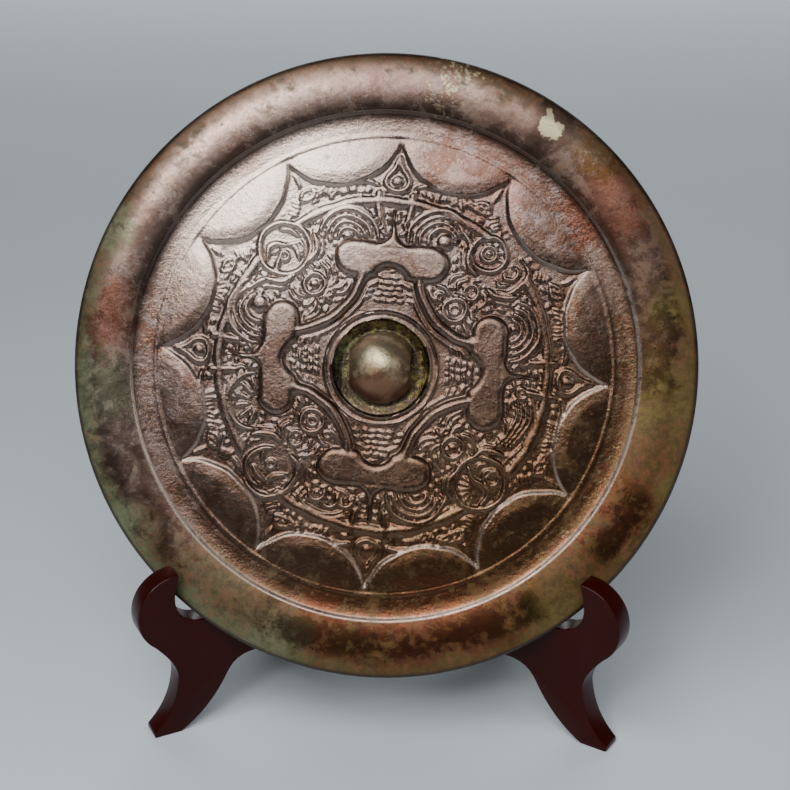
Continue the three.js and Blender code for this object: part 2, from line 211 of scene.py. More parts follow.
class CastSector:
    """Part of the cast face in its own frame, in millimetres: u to the right and v away from the knob.

    With side at -1, all that is drawn is reflected from right to left.
    """

    def __init__(self, x, y, turn, spread):
        u = x * math.cos(turn) + y * math.sin(turn)
        v = y * math.cos(turn) - x * math.sin(turn)
        radius = np.hypot(x, y)
        self.index = np.flatnonzero((np.abs(np.arctan2(u, v)) < spread) & (radius > KNOB_RADIUS)
                                    & (radius < STAR_TIP + 2))
        self.u = u[self.index]
        self.v = v[self.index]
        self.height = np.zeros(len(self.index))
        self.side = 1

    def near(self, low, high, margin):
        """The points in a box, with the side taken into account."""
        u = self.u * self.side
        return np.flatnonzero((u > low[0] - margin) & (u < high[0] + margin)
                              & (self.v > low[1] - margin) & (self.v < high[1] + margin))

    def put(self, where, distance, half, height):
        """Raises a rounded form where the distance from its middle is less than half its width."""
        crest = 0.8 * height * np.clip(1 - (distance / half) ** 2, 0, 1) ** 0.45
        self.height[where] = np.maximum(self.height[where], crest)

    def stroke(self, points, width, height=0.75, taper=0.55):
        """A raised line on a smooth path, thinner towards its ends."""
        path = curve_through(points)
        width = width * LINE_FULLNESS
        where = self.near(path.min(0), path.max(0), width)
        u = self.u[where] * self.side
        v = self.v[where]
        nearest = np.full(len(where), 1e9)
        for i, (a, b) in enumerate(zip(path, path[1:])):
            along = b - a
            t = np.clip(((u - a[0]) * along[0] + (v - a[1]) * along[1]) / (along @ along + 1e-9), 0, 1)
            share = (i + t) / (len(path) - 1)
            half = 0.5 * width * (1 - taper * (2 * share - 1) ** 2)
            distance = np.hypot(u - a[0] - t * along[0], v - a[1] - t * along[1]) / half
            nearest = np.minimum(nearest, distance)
        self.put(where, nearest, 1, height)

    def arc(self, centre, radius, start, end, width, height=0.75, taper=0.55):
        """A raised arc between two angles in degrees, thinner towards its ends."""
        width = width * LINE_FULLNESS
        margin = radius + width
        where = self.near(centre, centre, margin)
        u = self.u[where] * self.side - centre[0]
        v = self.v[where] - centre[1]
        angle = (np.degrees(np.arctan2(v, u)) - start) % 360
        share = angle / (end - start)
        half = 0.5 * width * (1 - taper * (2 * np.clip(share, 0, 1) - 1) ** 2)
        past = np.minimum(np.abs(angle - (end - start)), np.abs(360 - angle)) * math.pi / 180 * radius
        past = np.where(share > 1, past, 0)
        distance = np.hypot(np.hypot(u, v) - radius, past) / half
        self.put(where, distance, 1, height)

    def ring(self, centre, radius, width, height=0.75):
        """A raised ring."""
        self.arc(centre, radius, 0, 360, width, height, taper=0)

    def dot(self, centre, radius, height=0.75):
        """A raised boss."""
        where = self.near(centre, centre, radius)
        distance = np.hypot(self.u[where] * self.side - centre[0], self.v[where] - centre[1])
        self.put(where, distance, radius, height)

    def fan(self, centre, inner, outer, start, end, count, width, height=0.6):
        """Straight strokes that spread from a centre, between two angles in degrees."""
        for angle in np.radians(np.linspace(start, end, count)):
            ray = np.array((math.cos(angle), math.sin(angle)))
            self.stroke([centre + ray * inner, centre + ray * outer], width, height, taper=0.3)

    def hatch(self, start, end, length, count, width, lean=90, height=0.5):
        """Short strokes side by side, from one place to another."""
        tilt = math.radians(lean)
        half = np.array((math.cos(tilt), math.sin(tilt))) * length / 2
        for share in np.linspace(0, 1, count):
            middle = np.array(start) * (1 - share) + np.array(end) * share
            self.stroke([middle - half, middle + half], width, height, taper=0.3)


def feathers(sector, centre, radii, start, end, width, height=0.9):
    """Nested arcs that almost touch, like the feathers of a curled wing."""
    for radius in radii:
        sector.arc(centre, radius, start, end, width, height, taper=0.35)


def wing_of_arcs(sector):
    """A curled wing of nested feathers."""
    sector.dot((14.6, 40.4), 1.7, 0.9)
    feathers(sector, (14.2, 39.4), (3.6, 5.5, 7.4), 12, 168, 1.3)
    sector.arc((14.2, 39.4), 9.6, 12, 172, 1.9, 1.1, taper=0.6)
    sector.hatch((21.0, 42.6), (24.6, 39.4), 3.2, 4, 1.0, lean=40)


def wing_of_teeth(sector):
    """An arched wing with short feathers on its inner side."""
    sector.arc((14.5, 40.2), 9.0, 0, 178, 2.1, 1.1, taper=0.6)
    sector.fan(np.array((14.5, 38.8)), 3.6, 7.8, 22, 160, 6, 1.35, 0.8)
    sector.hatch((21.8, 46.2), (27.0, 41.8), 3.0, 5, 0.95, lean=35)


def wing_of_lobes(sector):
    """A wing of three scallops."""
    for place, radius in (((8.2, 43.8), 2.7), ((13.0, 44.2), 2.5), ((17.4, 42.6), 2.4)):
        sector.arc(place, radius, -15, 195, 1.25, 0.95, taper=0.3)
        sector.dot(place, 1.0, 0.6)
    feathers(sector, (13, 39.5), (11.0,), 20, 120, 1.3, 0.85)
    sector.hatch((20.5, 45.0), (24.8, 41.8), 3.4, 4, 1.05, lean=50)


def wing_with_boss(sector):
    """A wing that coils round a boss."""
    sector.dot((16.8, 41.2), 2.6, 1.2)
    sector.arc((15.8, 41.0), 4.4, 20, 260, 1.35, 0.95, taper=0.4)
    feathers(sector, (15.0, 40.6), (6.6, 8.4), 28, 185, 1.3)
    sector.arc((15.0, 40.6), 10.4, 28, 185, 1.8, 1.1, taper=0.6)
    sector.stroke([(21.6, 45.0), (24.4, 41.4), (24.8, 36.5)], 1.8, 1.0)


def swept_wing(sector):
    """A long wing of feather lines."""
    for drop in 1.55 * np.arange(4):
        path = [(7.2, 48.0 - drop), (13, 48.2 - drop), (18.5, 45.8 - drop), (22.8, 41.8 - drop)]
        sector.stroke(path, 1.1, 0.85)
    sector.arc((17, 38.2), 3.2, 10, 150, 1.3, 0.8)
    sector.hatch((22.5, 45.8), (26.8, 42.0), 3.4, 4, 1.05, lean=-40)


def bird(sector, wing):
    """A bird that faces the spike of the leaf, with its eye, beak, back and tail."""
    sector.ring((5.2, 45), 1.55, 0.95, 0.8)
    sector.dot((5.2, 45), 0.6, 0.6)
    sector.stroke([(4.0, 43.4), (2.9, 42.4), (1.5, 42.2)], 1.1, 0.7)
    sector.stroke([(6.8, 44.2), (8.3, 42.0), (11.5, 40.6)], 1.0, 0.6)
    for i in range(2):
        rise = 1.45 * i
        sector.stroke([(6.6, 46.6 + 0.6 * rise), (11.5, 48.9 + rise * 0.8), (18.5, 48.0 + rise * 0.8),
                       (25.2, 43.6 + rise)], 1.0, 0.75)
    sector.hatch((24.0, 47.6), (28.4, 43.8), 3.4, 5, 0.95, lean=40)
    wing(sector)


def post(sector):
    """A post beside the drop, and hatching under the hollows of the star."""
    sector.stroke([(4.6, 47.0), (5.0, 49.8), (5.6, 52.6), (5.5, 55.0)], 1.9, 0.95, taper=0.1)
    sector.stroke([(5.6, 57.6), (9.4, 58.3), (15.0, 57.4), (20.5, 55.8)], 1.3, 0.8, taper=0.7)
    sector.hatch((13.5, 55.3), (19.5, 54.9), 2.3, 6, 0.85, lean=72)
    sector.stroke([(21.5, 56.2), (24.0, 54.6), (26.5, 53.0)], 1.0, 0.6)
    sector.stroke([(22.8, 54.2), (24.8, 52.6), (26.8, 50.8)], 0.9, 0.5)


def drop_and_spike(sector):
    """The drop in the star point over a leaf, and the bars across its spike."""
    sector.stroke([(0, 66.8), (-1.2, 63.4), (-3.3, 60.6), (-3.2, 57.6), (0, 56.0), (3.2, 57.6), (3.3, 60.6),
                   (1.2, 63.4), (0, 66.8)], 1.3, 0.8, taper=0)
    sector.dot((0, 59.0), 1.9, 0.9)
    for height in (47.0, 49.2, 51.4):
        sector.stroke([(-2.1, height), (2.1, height)], 0.9, 0.55, taper=0.3)


def signs(sector, seed):
    """Rows of short strokes in the field between the arms. They aren't letters."""
    draw = np.random.default_rng(seed)
    for row, height in enumerate((21.0, 22.9, 24.8, 26.7, 28.4)):
        reach = 4.4 - 0.45 * row
        start = -reach
        while start < reach - 0.6:
            end = start + draw.uniform(0.7, 2.3)
            lean = draw.uniform(-0.3, 0.3)
            sector.stroke([(start, height - lean), (min(end, reach), height + lean)], 0.85, 0.42, taper=0.3)
            start = end + 1.0
    sector.hatch((-7.0, 21.4), (-5.6, 25.6), 1.6, 3, 0.8, lean=20)
    sector.hatch((7.0, 21.4), (5.6, 25.6), 1.6, 3, 0.8, lean=-20)


def coiled_beast(sector):
    """A beast coiled in a ring, with its eye, snout and mane."""
    sector.ring((0.3, 49.3), 8.3, 1.6, 1.1)
    sector.ring((-1.4, 47.6), 1.35, 0.9, 0.8)
    sector.stroke([(-2.6, 48.6), (-5.0, 47.0), (-6.6, 45.2)], 1.5, 0.85)
    sector.stroke([(-6.0, 50.6), (-3.6, 52.9), (-0.6, 52.2), (1.2, 49.6)], 1.8, 0.95)
    sector.stroke([(-3.8, 51.0), (-2.2, 50.4), (-0.4, 50.6)], 1.0, 0.6)
    for i in range(3):
        sector.stroke([(1.6 + 1.3 * i, 50.4 - i), (2.8 + 1.3 * i, 47.2), (1.6 + 0.9 * i, 43.6)], 0.95, 0.65)
    sector.stroke([(3.2, 55.2), (5.6, 52.6), (6.0, 49.0)], 1.2, 0.8)


def winding_beast(sector):
    """A ring divided by a winding body, with a fan in one half."""
    sector.ring((0.8, 48.8), 8.4, 1.6, 1.1)
    sector.stroke([(5.0, 54.8), (1.0, 53.4), (0.4, 49.6), (1.6, 46.0), (0.2, 42.6)], 1.5, 0.95, taper=0.3)
    sector.fan(np.array((2.0, 49.8)), 2.0, 5.8, -75, 20, 6, 0.95, 0.6)
    sector.ring((-3.2, 50.6), 2.0, 1.0, 0.75)
    sector.stroke([(-6.0, 49.4), (-3.4, 47.0), (-1.0, 48.2)], 1.1, 0.7)
    sector.stroke([(-5.2, 45.6), (-3.2, 44.2), (-1.2, 44.6)], 1.1, 0.7)


def two_small_rings(sector):
    """Two smaller beasts side by side."""
    sector.ring((-5.2, 48.6), 5.6, 1.2, 0.85)
    sector.ring((-5.2, 48.6), 2.4, 1.0, 0.7)
    sector.dot((-5.2, 48.6), 1.0, 0.7)
    sector.fan(np.array((-5.2, 48.6)), 3.2, 5.0, 20, 160, 5, 0.85, 0.5)
    sector.stroke([(3.0, 55.4), (7.2, 54.4), (8.8, 50.4), (8.4, 45.2), (5.2, 42.6)], 1.4, 0.85)
    sector.stroke([(2.6, 51.4), (4.8, 52.0), (6.2, 49.6), (4.2, 47.4), (2.2, 48.6)], 1.1, 0.7)
    sector.stroke([(2.2, 45.2), (4.4, 44.4), (6.0, 46.2)], 1.0, 0.65)


def broken_ring(sector):
    """A beast in a ring that its own mane breaks open."""
    sector.arc((-2.4, 49.2), 8.4, 70, 245, 1.7, 1.1)
    sector.arc((-0.4, 49.6), 6.2, -60, 120, 1.7, 1.1)
    sector.stroke([(-3.4, 52.6), (-0.6, 53.2), (2.6, 52.2)], 1.2, 0.75)
    sector.stroke([(-7.0, 46.2), (-4.6, 49.0), (-4.2, 51.6)], 1.2, 0.75)
    sector.ring((-0.9, 47.8), 1.2, 0.85, 0.7)
    sector.stroke([(1.4, 49.4), (3.8, 47.4), (3.2, 44.4)], 1.2, 0.8)
    sector.stroke([(3.6, 57.2), (6.4, 56.0), (8.6, 55.6)], 1.3, 0.7)


def frontal_mask(sector):
    """A small beast mask with whiskers, under a round bun."""
    for side in (-1, 1):
        sector.side = side
        sector.ring((1.6, 28.8), 0.95, 0.8, 0.75)
        sector.stroke([(2.6, 27.6), (5.6, 26.2), (9.0, 26.6), (11.2, 27.6)], 1.1, 0.7)
        sector.stroke([(3.2, 29.4), (6.0, 27.9), (8.4, 28.3)], 0.95, 0.6)
        sector.stroke([(2.4, 30.6), (5.4, 30.4), (7.0, 31.8)], 0.95, 0.6)
        sector.stroke([(1.6, 25.6), (4.6, 24.4), (8.0, 24.8)], 0.9, 0.5)
        sector.stroke([(4.6, 33.0), (6.2, 35.2), (5.9, 38.0)], 1.0, 0.65)
        sector.stroke([(6.4, 32.6), (7.9, 35.0), (7.6, 37.8)], 0.9, 0.55)
    sector.side = 1
    sector.stroke([(0, 29.6), (0.2, 27.6), (0, 26.2)], 1.5, 0.8)
    sector.ring((0, 34.3), 3.3, 1.15, 0.85)
    sector.dot((0, 34.3), 1.5, 0.7)
    sector.hatch((-2.2, 39.4), (2.2, 39.4), 1.9, 4, 0.85, lean=80)


def side_mask(sector):
    """A beast seen from the side, with a round shoulder behind its eye."""
    sector.ring((1.2, 29.0), 3.7, 1.2, 0.85)
    sector.ring((1.2, 29.0), 1.5, 0.9, 0.7)
    sector.ring((-5.4, 28.2), 1.0, 0.8, 0.7)
    sector.stroke([(-4.0, 26.6), (-7.0, 26.2), (-10.4, 27.0)], 1.2, 0.7)
    sector.stroke([(-3.4, 30.6), (-6.4, 31.0), (-8.8, 29.8)], 1.1, 0.7)
    sector.stroke([(-3.0, 25.2), (0.4, 24.4), (3.8, 24.9)], 1.0, 0.6)
    sector.fan(np.array((2.4, 29.0)), 4.6, 7.4, -55, 30, 5, 0.95, 0.6)
    sector.stroke([(4.6, 32.8), (8.0, 30.8), (11.6, 27.4)], 1.1, 0.7)
    sector.ring((0.4, 36.4), 2.3, 1.0, 0.7)
    sector.stroke([(-3.4, 38.6), (-4.6, 35.8), (-3.4, 33.6)], 1.1, 0.7)
    sector.stroke([(3.6, 39.6), (5.8, 37.6), (5.4, 34.6)], 1.2, 0.75)
    sector.stroke([(-6.0, 38.4), (-7.2, 35.6), (-6.6, 33.0)], 0.95, 0.6)


def between_roundels(sector):
    """The bodies that join a roundel to the birds, and the small leaf in each star point beside it."""
    for side in (-1, 1):
        sector.side = side
        sector.stroke([(3.0, 41.0), (6.4, 41.4), (9.2, 43.8), (10.6, 46.4)], 2.0, 1.2)
        sector.stroke([(6.0, 39.6), (8.6, 40.6), (11.6, 43.6)], 1.0, 0.65)
        sector.stroke([(14.2, 57.4), (17.0, 58.7), (20.0, 57.0)], 1.1, 0.7)
        sector.stroke([(14.2, 57.2), (17.2, 55.4), (20.0, 56.8)], 1.1, 0.7)
        sector.stroke([(16.2, 57.2), (18.2, 57.0)], 1.0, 0.6, taper=0.2)
        sector.stroke([(16.8, 60.6), (17.4, 62.8), (17.9, 65.2)], 1.0, 0.45)
        sector.hatch((9.6, 55.6), (12.8, 57.6), 2.4, 4, 0.85, lean=120)
        sector.hatch((21.2, 54.8), (24.6, 52.2), 2.4, 4, 0.85, lean=30)


def turned(x, y):
    """Points of the face in the frame of the pattern, which is a little turned against the stand."""
    return (x * math.cos(PATTERN_TURN) + y * math.sin(PATTERN_TURN),
            y * math.cos(PATTERN_TURN) - x * math.sin(PATTERN_TURN))


def uneven(x, y):
    """Moves points of the pattern a little, so that its lines are as uneven as if drawn by hand."""
    sway = smooth((SWAY_END - np.hypot(x, y)) / 10)
    return (x + sway * (LONG_SWAY * np.sin(0.13 * y + 1.1) + SHORT_SWAY * np.sin(0.31 * x + 0.7 * y)),
            y + sway * (LONG_SWAY * np.sin(0.12 * x + 0.4) + SHORT_SWAY * np.sin(0.29 * y - 0.6 * x)))


def leaf_band_distance(x, y):
    """The distance in millimetres from the edge of the leaf band, negative inside, and which points lie in
    the windows between its arms."""
    whole = np.full(len(x), 1e9)
    window = np.zeros(len(x), bool)
    root_x = HEAD_SPAN / 4
    root_y = HEAD_PLACE - HEAD_WIDTH / 2 + 0.5
    across = (root_y - root_x) / math.sqrt(2)
    out = (root_y + root_x) / math.sqrt(2)
    arm_centre = (across**2 + out**2 - ARM_RADIUS**2) / (2 * (out - ARM_RADIUS))
    for i in range(LEAVES):
        turn = i * 2 * math.pi / LEAVES
        u = np.abs(x * math.cos(turn) + y * math.sin(turn))
        v = y * math.cos(turn) - x * math.sin(turn)
        end = HEAD_SPAN / 2 - HEAD_WIDTH / 2
        head = np.hypot(np.maximum(u - end, 0), v - HEAD_PLACE) - HEAD_WIDTH / 2
        spike = np.maximum(u - 0.5 - 3.4 * np.exp((39.2 - np.maximum(v, SPIKE_ROOT)) / 1.7), v - SPIKE_TIP)
        head = np.where(v > SPIKE_ROOT, np.minimum(head, spike), head)
        notch = np.where(v > ARCH_PLACE, np.hypot(u, v - ARCH_PLACE), u) - ARCH_HALF_WIDTH
        head = np.where(v > 0, -blend_min(-head, notch, 1.4), 1e9)
        turn += math.pi / LEAVES
        u = x * math.cos(turn) + y * math.sin(turn)
        v = y * math.cos(turn) - x * math.sin(turn)
        beyond = np.hypot(u, v - arm_centre) - (arm_centre - ARM_RADIUS)
        ring = np.abs(beyond) - ARM_HALF_WIDTH
        window |= (v > 0) & (np.abs(u) < across + 3) & (beyond > 0)
        past = np.hypot(np.maximum(np.abs(u) - across - 1, 0), np.maximum(v - out - 1, 0))
        arm = np.where(v > 0, ring + past, 1e9)
        whole = blend_min(whole, blend_min(head, arm, 2.4), 0.3)
    return whole, window & (np.hypot(x, y) < HEAD_PLACE)


def depth_in_lens(x, y):
    """How far inside the arcs of the lenses the points lie, in millimetres, and the number of their lens."""
    step = 2 * math.pi / STAR_POINTS
    centre = (STAR_TIP**2 - STAR_VALLEY**2) / (2 * (STAR_TIP * math.cos(step / 2) - STAR_VALLEY))
    radius = np.hypot(x, y)
    angle = np.arctan2(x, y)
    within = angle % step - step / 2
    inside = (centre - STAR_VALLEY) - np.hypot(radius * np.cos(within) - centre, radius * np.sin(within))
    return inside, np.floor(angle / step).astype(int) % STAR_POINTS


def lens_field(x, y):
    """The twelve lenses round the star."""
    inside, number = depth_in_lens(x, y)
    radius = np.hypot(x, y)
    draw = np.random.default_rng(5)
    tall = draw.uniform(0.85, 1.1, STAR_POINTS)[number]
    outwards = np.clip((radius - STAR_VALLEY) / (LENS_RING - STAR_VALLEY), 0, 1)
    edge = 0.72 * smooth((inside + 0.3) / 0.9) + 0.28 * smooth(inside / 5)
    whole = tall * edge * (LENS_HEIGHT - 0.2 * outwards - 0.8 * outwards**2)
    return np.where(radius < LENS_RING + 0.3, whole * (1 - smooth((radius - LENS_RING + 0.9) / 1.2)), 0)


def rim_profile(radius):
    """The thickness of the plain zones: rim, slope, outer band and the ring round the lenses."""
    t = np.linspace(0, 1, 60)
    crest = MIRROR_RADIUS - RIM_CREST
    crown_r = MIRROR_RADIUS - RIM_CREST * (1 - np.cos(t * math.pi / 2)) - 0.4 * t * (1 - t)
    crown_z = EDGE_THICKNESS + (RIM_THICKNESS - EDGE_THICKNESS) * np.sin(t * math.pi / 2) ** 0.9
    fall_r = np.linspace(crest, RIM_INNER, 30)[1:]
    fall_z = RIM_THICKNESS - RIM_FALL * ((crest - fall_r) / (crest - RIM_INNER)) ** 2
    crown_r, crown_z = np.concatenate([crown_r, fall_r]), np.concatenate([crown_z, fall_z])
    rise = np.linspace(0, 1, 20)
    inner_r = np.concatenate([[0, LENS_RING - 0.7, LENS_RING, LENS_RING + 0.8],
                              OUTER_BAND - 2 + rise * (RIM_INNER - OUTER_BAND + 1.4)])
    inner_z = np.concatenate([[GROUND, GROUND, LENS_RIDGE, BAND_LOW],
                              BAND_THICKNESS - 0.1 + BAND_EDGE_RISE * rise**2.2])
    profile_r = np.concatenate([inner_r, crown_r[::-1]])
    profile_z = np.concatenate([inner_z, crown_z[::-1]])
    fine = np.linspace(0, MIRROR_RADIUS, 2001)
    cut = np.interp(fine, profile_r, profile_z)
    kernel = np.hanning(13)
    soft = np.convolve(np.pad(cut, 6, mode="edge"), kernel / kernel.sum(), mode="valid")
    soft = np.where(fine > MIRROR_RADIUS - 1, cut, soft)
    bead = BEAD_HEIGHT * np.exp(-((radius - RIM_INNER + 0.3) / 0.4) ** 2)
    return np.interp(radius, fine, soft) + bead


def knob_profile(radius):
    """The moat, the flat ring with its two edge lines, and the domed knob."""
    moat = -MOAT_DEPTH * smooth((RING_INNER + 0.6 - radius) / 3.4)
    half = (RING_OUTER - RING_INNER) / 2
    middle = (RING_OUTER + RING_INNER) / 2
    band = RING_HEIGHT * smooth((half - np.abs(radius - middle)) / 0.5)
    lines = RING_LINES * np.exp(-((np.abs(radius - middle) - half + 0.55) / 0.4) ** 2)
    dome = KNOB_HEIGHT * np.clip(1 - (radius / KNOB_RADIUS) ** 2.5, 0, 1) ** 0.55
    return np.where(dome > 0, dome + moat * smooth(1 - dome), moat + band + np.where(band > 0, lines, 0))


def painted_highlight_lines(x, y):
    """Painted highlight lines along the sharp edges of the lenses and of the rim, fading towards the top,
    from 0 to 1.
    """
    radius = np.hypot(x, y)
    inside = depth_in_lens(*uneven(*turned(x, y)))[0]
    star = np.exp(-((inside - 0.25) / 0.4) ** 2) * (radius < STAR_TIP + 0.5)
    rim = np.exp(-((radius - RIM_INNER + 0.3) / 0.5) ** 2)
    return np.maximum(0.7 * star, rim) * smooth((40 - y + 0.3 * x) / 50)


def scattered_marks(x, y, radius):
    """Small low strokes all over the figured zone, which show wherever no figure covers them."""
    ring = np.floor(radius / MARK_PITCH).astype(int)
    count = np.maximum(6, np.round(2 * math.pi * (ring + 0.5)).astype(int))
    angle = np.arctan2(x, y) % (2 * math.pi)
    cell = np.floor(angle / (2 * math.pi) * count).astype(int)
    draw = np.random.default_rng(11).uniform(-1, 1, (997, 3))[(ring * 61 + cell) % 997]
    along = (angle - (cell + 0.5 + 0.2 * draw[:, 0]) / count * 2 * math.pi) * radius
    across = radius - (ring + 0.5 + 0.2 * draw[:, 1]) * MARK_PITCH
    tilt = math.pi / 2 * draw[:, 2]
    lengthways = along * np.cos(tilt) + across * np.sin(tilt)
    sideways = across * np.cos(tilt) - along * np.sin(tilt)
    distance = np.hypot(np.maximum(np.abs(lengthways) - 0.5, 0), sideways) / 0.75
    return MARK_HEIGHT * np.clip(1 - distance**2, 0, 1) ** 0.45 * (draw[:, 0] * draw[:, 1] < 0.12)


def figures(x, y, radius):
    """The height of the figured work over the ground, in the frame of the pattern."""
    work = scattered_marks(x, y, radius)
    work = work * smooth((STAR_VALLEY + 1 - radius) / 3) * smooth((radius - 24) / 4)
    band = 1 - (np.abs(radius - PLAIN_BAND) / (PLAIN_BAND_WIDTH / 2 + 0.3)) ** 2
    work = np.maximum(work, PLAIN_BAND_HEIGHT * np.clip(band, 0, 1) ** 0.4)
    wings = ((wing_of_arcs, wing_with_boss), (wing_of_teeth, wing_with_boss),
             (wing_of_arcs, wing_of_lobes), (wing_of_arcs, swept_wing))
    beasts = ((coiled_beast, frontal_mask), (broken_ring, side_mask),
              (winding_beast, frontal_mask), (two_small_rings, side_mask))
    for i in range(LEAVES):
        turn = i * 2 * math.pi / LEAVES
        over = CastSector(x, y, turn, math.radians(36))
        for side, wing in zip((-1, 1), wings[i]):
            over.side = side
            bird(over, wing)
            post(over)
        drop_and_spike(over)
        signs(over, i)
        work[over.index] = np.maximum(work[over.index], over.height)
        beside = CastSector(x, y, turn + math.pi / LEAVES, math.radians(32))
        work[beside.index[np.hypot(beside.u, beside.v - ROUNDEL_PLACE) < ROUNDEL_RADIUS]] = 0
        for draw in beasts[i]:
            draw(beside)
        between_roundels(beside)
        work[beside.index] = np.maximum(work[beside.index], beside.height)
    return work


def cast_height(x, y):
    """The thickness of the casting in millimetres at points of its face."""
    turned_x, turned_y = turned(x, y)
    wx, wy = uneven(turned_x, turned_y)
    radius = np.hypot(wx, wy)
    leaf, in_window = leaf_band_distance(wx, wy)
    work = figures(wx, wy, radius)
    work = np.where(leaf < 0.9, work * smooth((leaf - 0.1) / 0.8), work)
    rounding = np.clip(-leaf / 2.4, 0, 1)
    pillow = np.where(leaf < 0, LEAF_HEIGHT * np.sqrt(1 - (1 - rounding) ** 2), 0)
    outline = LEAF_OUTLINE * np.exp(-((leaf - 1.2) / 0.4) ** 2) * (radius > RING_OUTER + 0.3) * in_window
    work = np.maximum(np.maximum(work, pillow), outline)
    work = np.where(radius < RING_OUTER, 0, work)
    work = np.maximum(work, lens_field(wx, wy))
    knob_x = turned_x - KNOB_SHIFT[0]
    knob_y = turned_y - KNOB_SHIFT[1]
    knob = knob_profile(np.hypot(knob_x, knob_y))
    dents = 0.3 * np.sin(0.4 * knob_x + 0.4) * np.cos(0.35 * knob_y - 0.5)
    knob = knob + np.where(knob > 4, dents * smooth((knob - 4) / 5), 0)
    work = np.where(np.hypot(knob_x, knob_y) < RING_OUTER + 0.3, knob, work)
    return rim_profile(np.hypot(x, y)) + work


def face_rings():
    """The radii and the number of points of the rings that the face is meshed with, from the middle out."""
    rings = [(KNOB_RADIUS * math.sin(a), 96) for a in np.linspace(0, math.pi / 2, 16)[1:]]
    rings += [(r, 192) for r in np.arange(KNOB_RADIUS + 0.45, 20, 0.43)]
    rings += [(r, 384) for r in np.arange(20.1, 33, 0.42)]
    rings += [(r, 768) for r in np.arange(33.1, 58, 0.42)]
    rings += [(r, 768) for r in np.arange(58.3, LENS_RING + 0.9, 0.52)]
    rings += [(r, 384) for r in np.arange(LENS_RING + 1.2, OUTER_BAND + 1, 0.7)]
    rings += [(r, 384) for r in np.arange(OUTER_BAND + 1.5, RIM_INNER + 1.2, 0.4)]
    rings += [(r, 192) for r in np.linspace(RIM_INNER + 2, MIRROR_RADIUS - 4, 12)]
    rings += [(r, 192) for r in MIRROR_RADIUS - np.array((3.0, 2.1, 1.3, 0.7, 0.3, 0.0))]
    return rings


def mirror_mesh():
    """The points, heights and faces of the cast face, with the rings that they lie on."""
    points = [np.zeros((1, 2))]
    starts = [0]
    total = 1
    rings = face_rings()
    for radius, count in rings:
        angle = np.arange(count) * 2 * math.pi / count
        points.append(np.stack([radius * np.sin(angle), radius * np.cos(angle)], 1))
        starts.append(total)
        total += count
    flat = np.vstack(points)
    height = cast_height(flat[:, 0], flat[:, 1])
    faces = []
    first = rings[0][1]
    faces += [(0, starts[1] + (i + 1) % first, starts[1] + i) for i in range(first)]
    for number in range(1, len(rings)):
        inner_count = rings[number - 1][1]
        outer_count = rings[number][1]
        inner, outer = starts[number], starts[number + 1]
        share = outer_count / inner_count
        if share == 1:
            i = np.arange(inner_count)
            j = (i + 1) % inner_count
            faces += np.stack([inner + i, inner + j, outer + j, outer + i], 1).tolist()
        elif share == 2:
            for i in range(inner_count):
                a, b = inner + i, inner + (i + 1) % inner_count
                c, d, e = (outer + (2 * i + k) % outer_count for k in range(3))
                faces += [(a, d, c), (a, b, d), (b, e, d)]
        else:
            for i in range(outer_count):
                a, b = outer + i, outer + (i + 1) % outer_count
                c, d, e = (inner + (2 * i + k) % inner_count for k in range(3))
                faces += [(a, c, d), (a, d, b), (b, d, e)]
    return flat, height, faces, starts, rings


def place_on_mirror(x, y, z):
    """Points of the face, in millimetres, in their place in the frame, in metres."""
    sine, cosine = math.sin(LEAN), math.cos(LEAN)
    return np.stack([
        MIRROR_CENTRE.x + x * MM,
        MIRROR_CENTRE.y + (y * sine - z * cosine) * MM,
        MIRROR_CENTRE.z + (y * cosine + z * sine) * MM,
    ], -1)


def mesh_object(name, points, faces):
    """A new object from points in metres and faces."""
    mesh = bpy.data.meshes.new(name)
    mesh.from_pydata([tuple(p) for p in points], [], faces)
    mesh.update()
    piece = bpy.data.objects.new(name, mesh)
    bpy.context.scene.collection.objects.link(piece)
    return piece


def face_outwards(piece, split=False):
    """Turns all faces of a closed mesh outwards. With split, large ones are cut into triangles."""
    bm = bmesh.new()
    bm.from_mesh(piece.data)
    bmesh.ops.recalc_face_normals(bm, faces=bm.faces)
    if split:
        bmesh.ops.triangulate(bm, faces=[face for face in bm.faces if len(face.verts) > 4])
    bm.to_mesh(piece.data)
    bm.free()


def apply_modifiers(piece):
    """Leaves the piece with the mesh that its modifiers make."""
    bpy.context.view_layer.update()
    shown = piece.evaluated_get(bpy.context.evaluated_depsgraph_get())
    mesh = bpy.data.meshes.new_from_object(shown)
    piece.modifiers.clear()
    piece.data = mesh


def shade(piece, sharp_angle, material):
    """Gives a piece its material, and smooth shading between edges that are sharper than an angle."""
    for polygon in piece.data.polygons:
        polygon.use_smooth = True
    piece.data.set_sharp_from_angle(angle=math.radians(sharp_angle))
    piece.data.materials.clear()
    piece.data.materials.append(material)


def cut(piece, tool):
    """Takes a closed tool away from a piece."""
    modifier = piece.modifiers.new("cut", "BOOLEAN")
    modifier.operation = "DIFFERENCE"
    modifier.solver = "MANIFOLD"
    modifier.object = tool
    apply_modifiers(piece)
    bpy.data.objects.remove(tool)


def tube_between(name, sections):
    """A closed tool from like sections, given as lists of points in their place on the face."""
    count = len(sections[0])
    points = np.array([point for section in sections for point in section])
    faces = [tuple(range(count)), tuple(range((len(sections) - 1) * count, len(sections) * count))]
    for number in range(len(sections) - 1):
        low, high = number * count, (number + 1) * count
        faces += [(low + i, low + (i + 1) % count, high + (i + 1) % count, high + i) for i in range(count)]
    tool = mesh_object(name, place_on_mirror(points[:, 0], points[:, 1], points[:, 2]), faces)
    face_outwards(tool)
    return tool


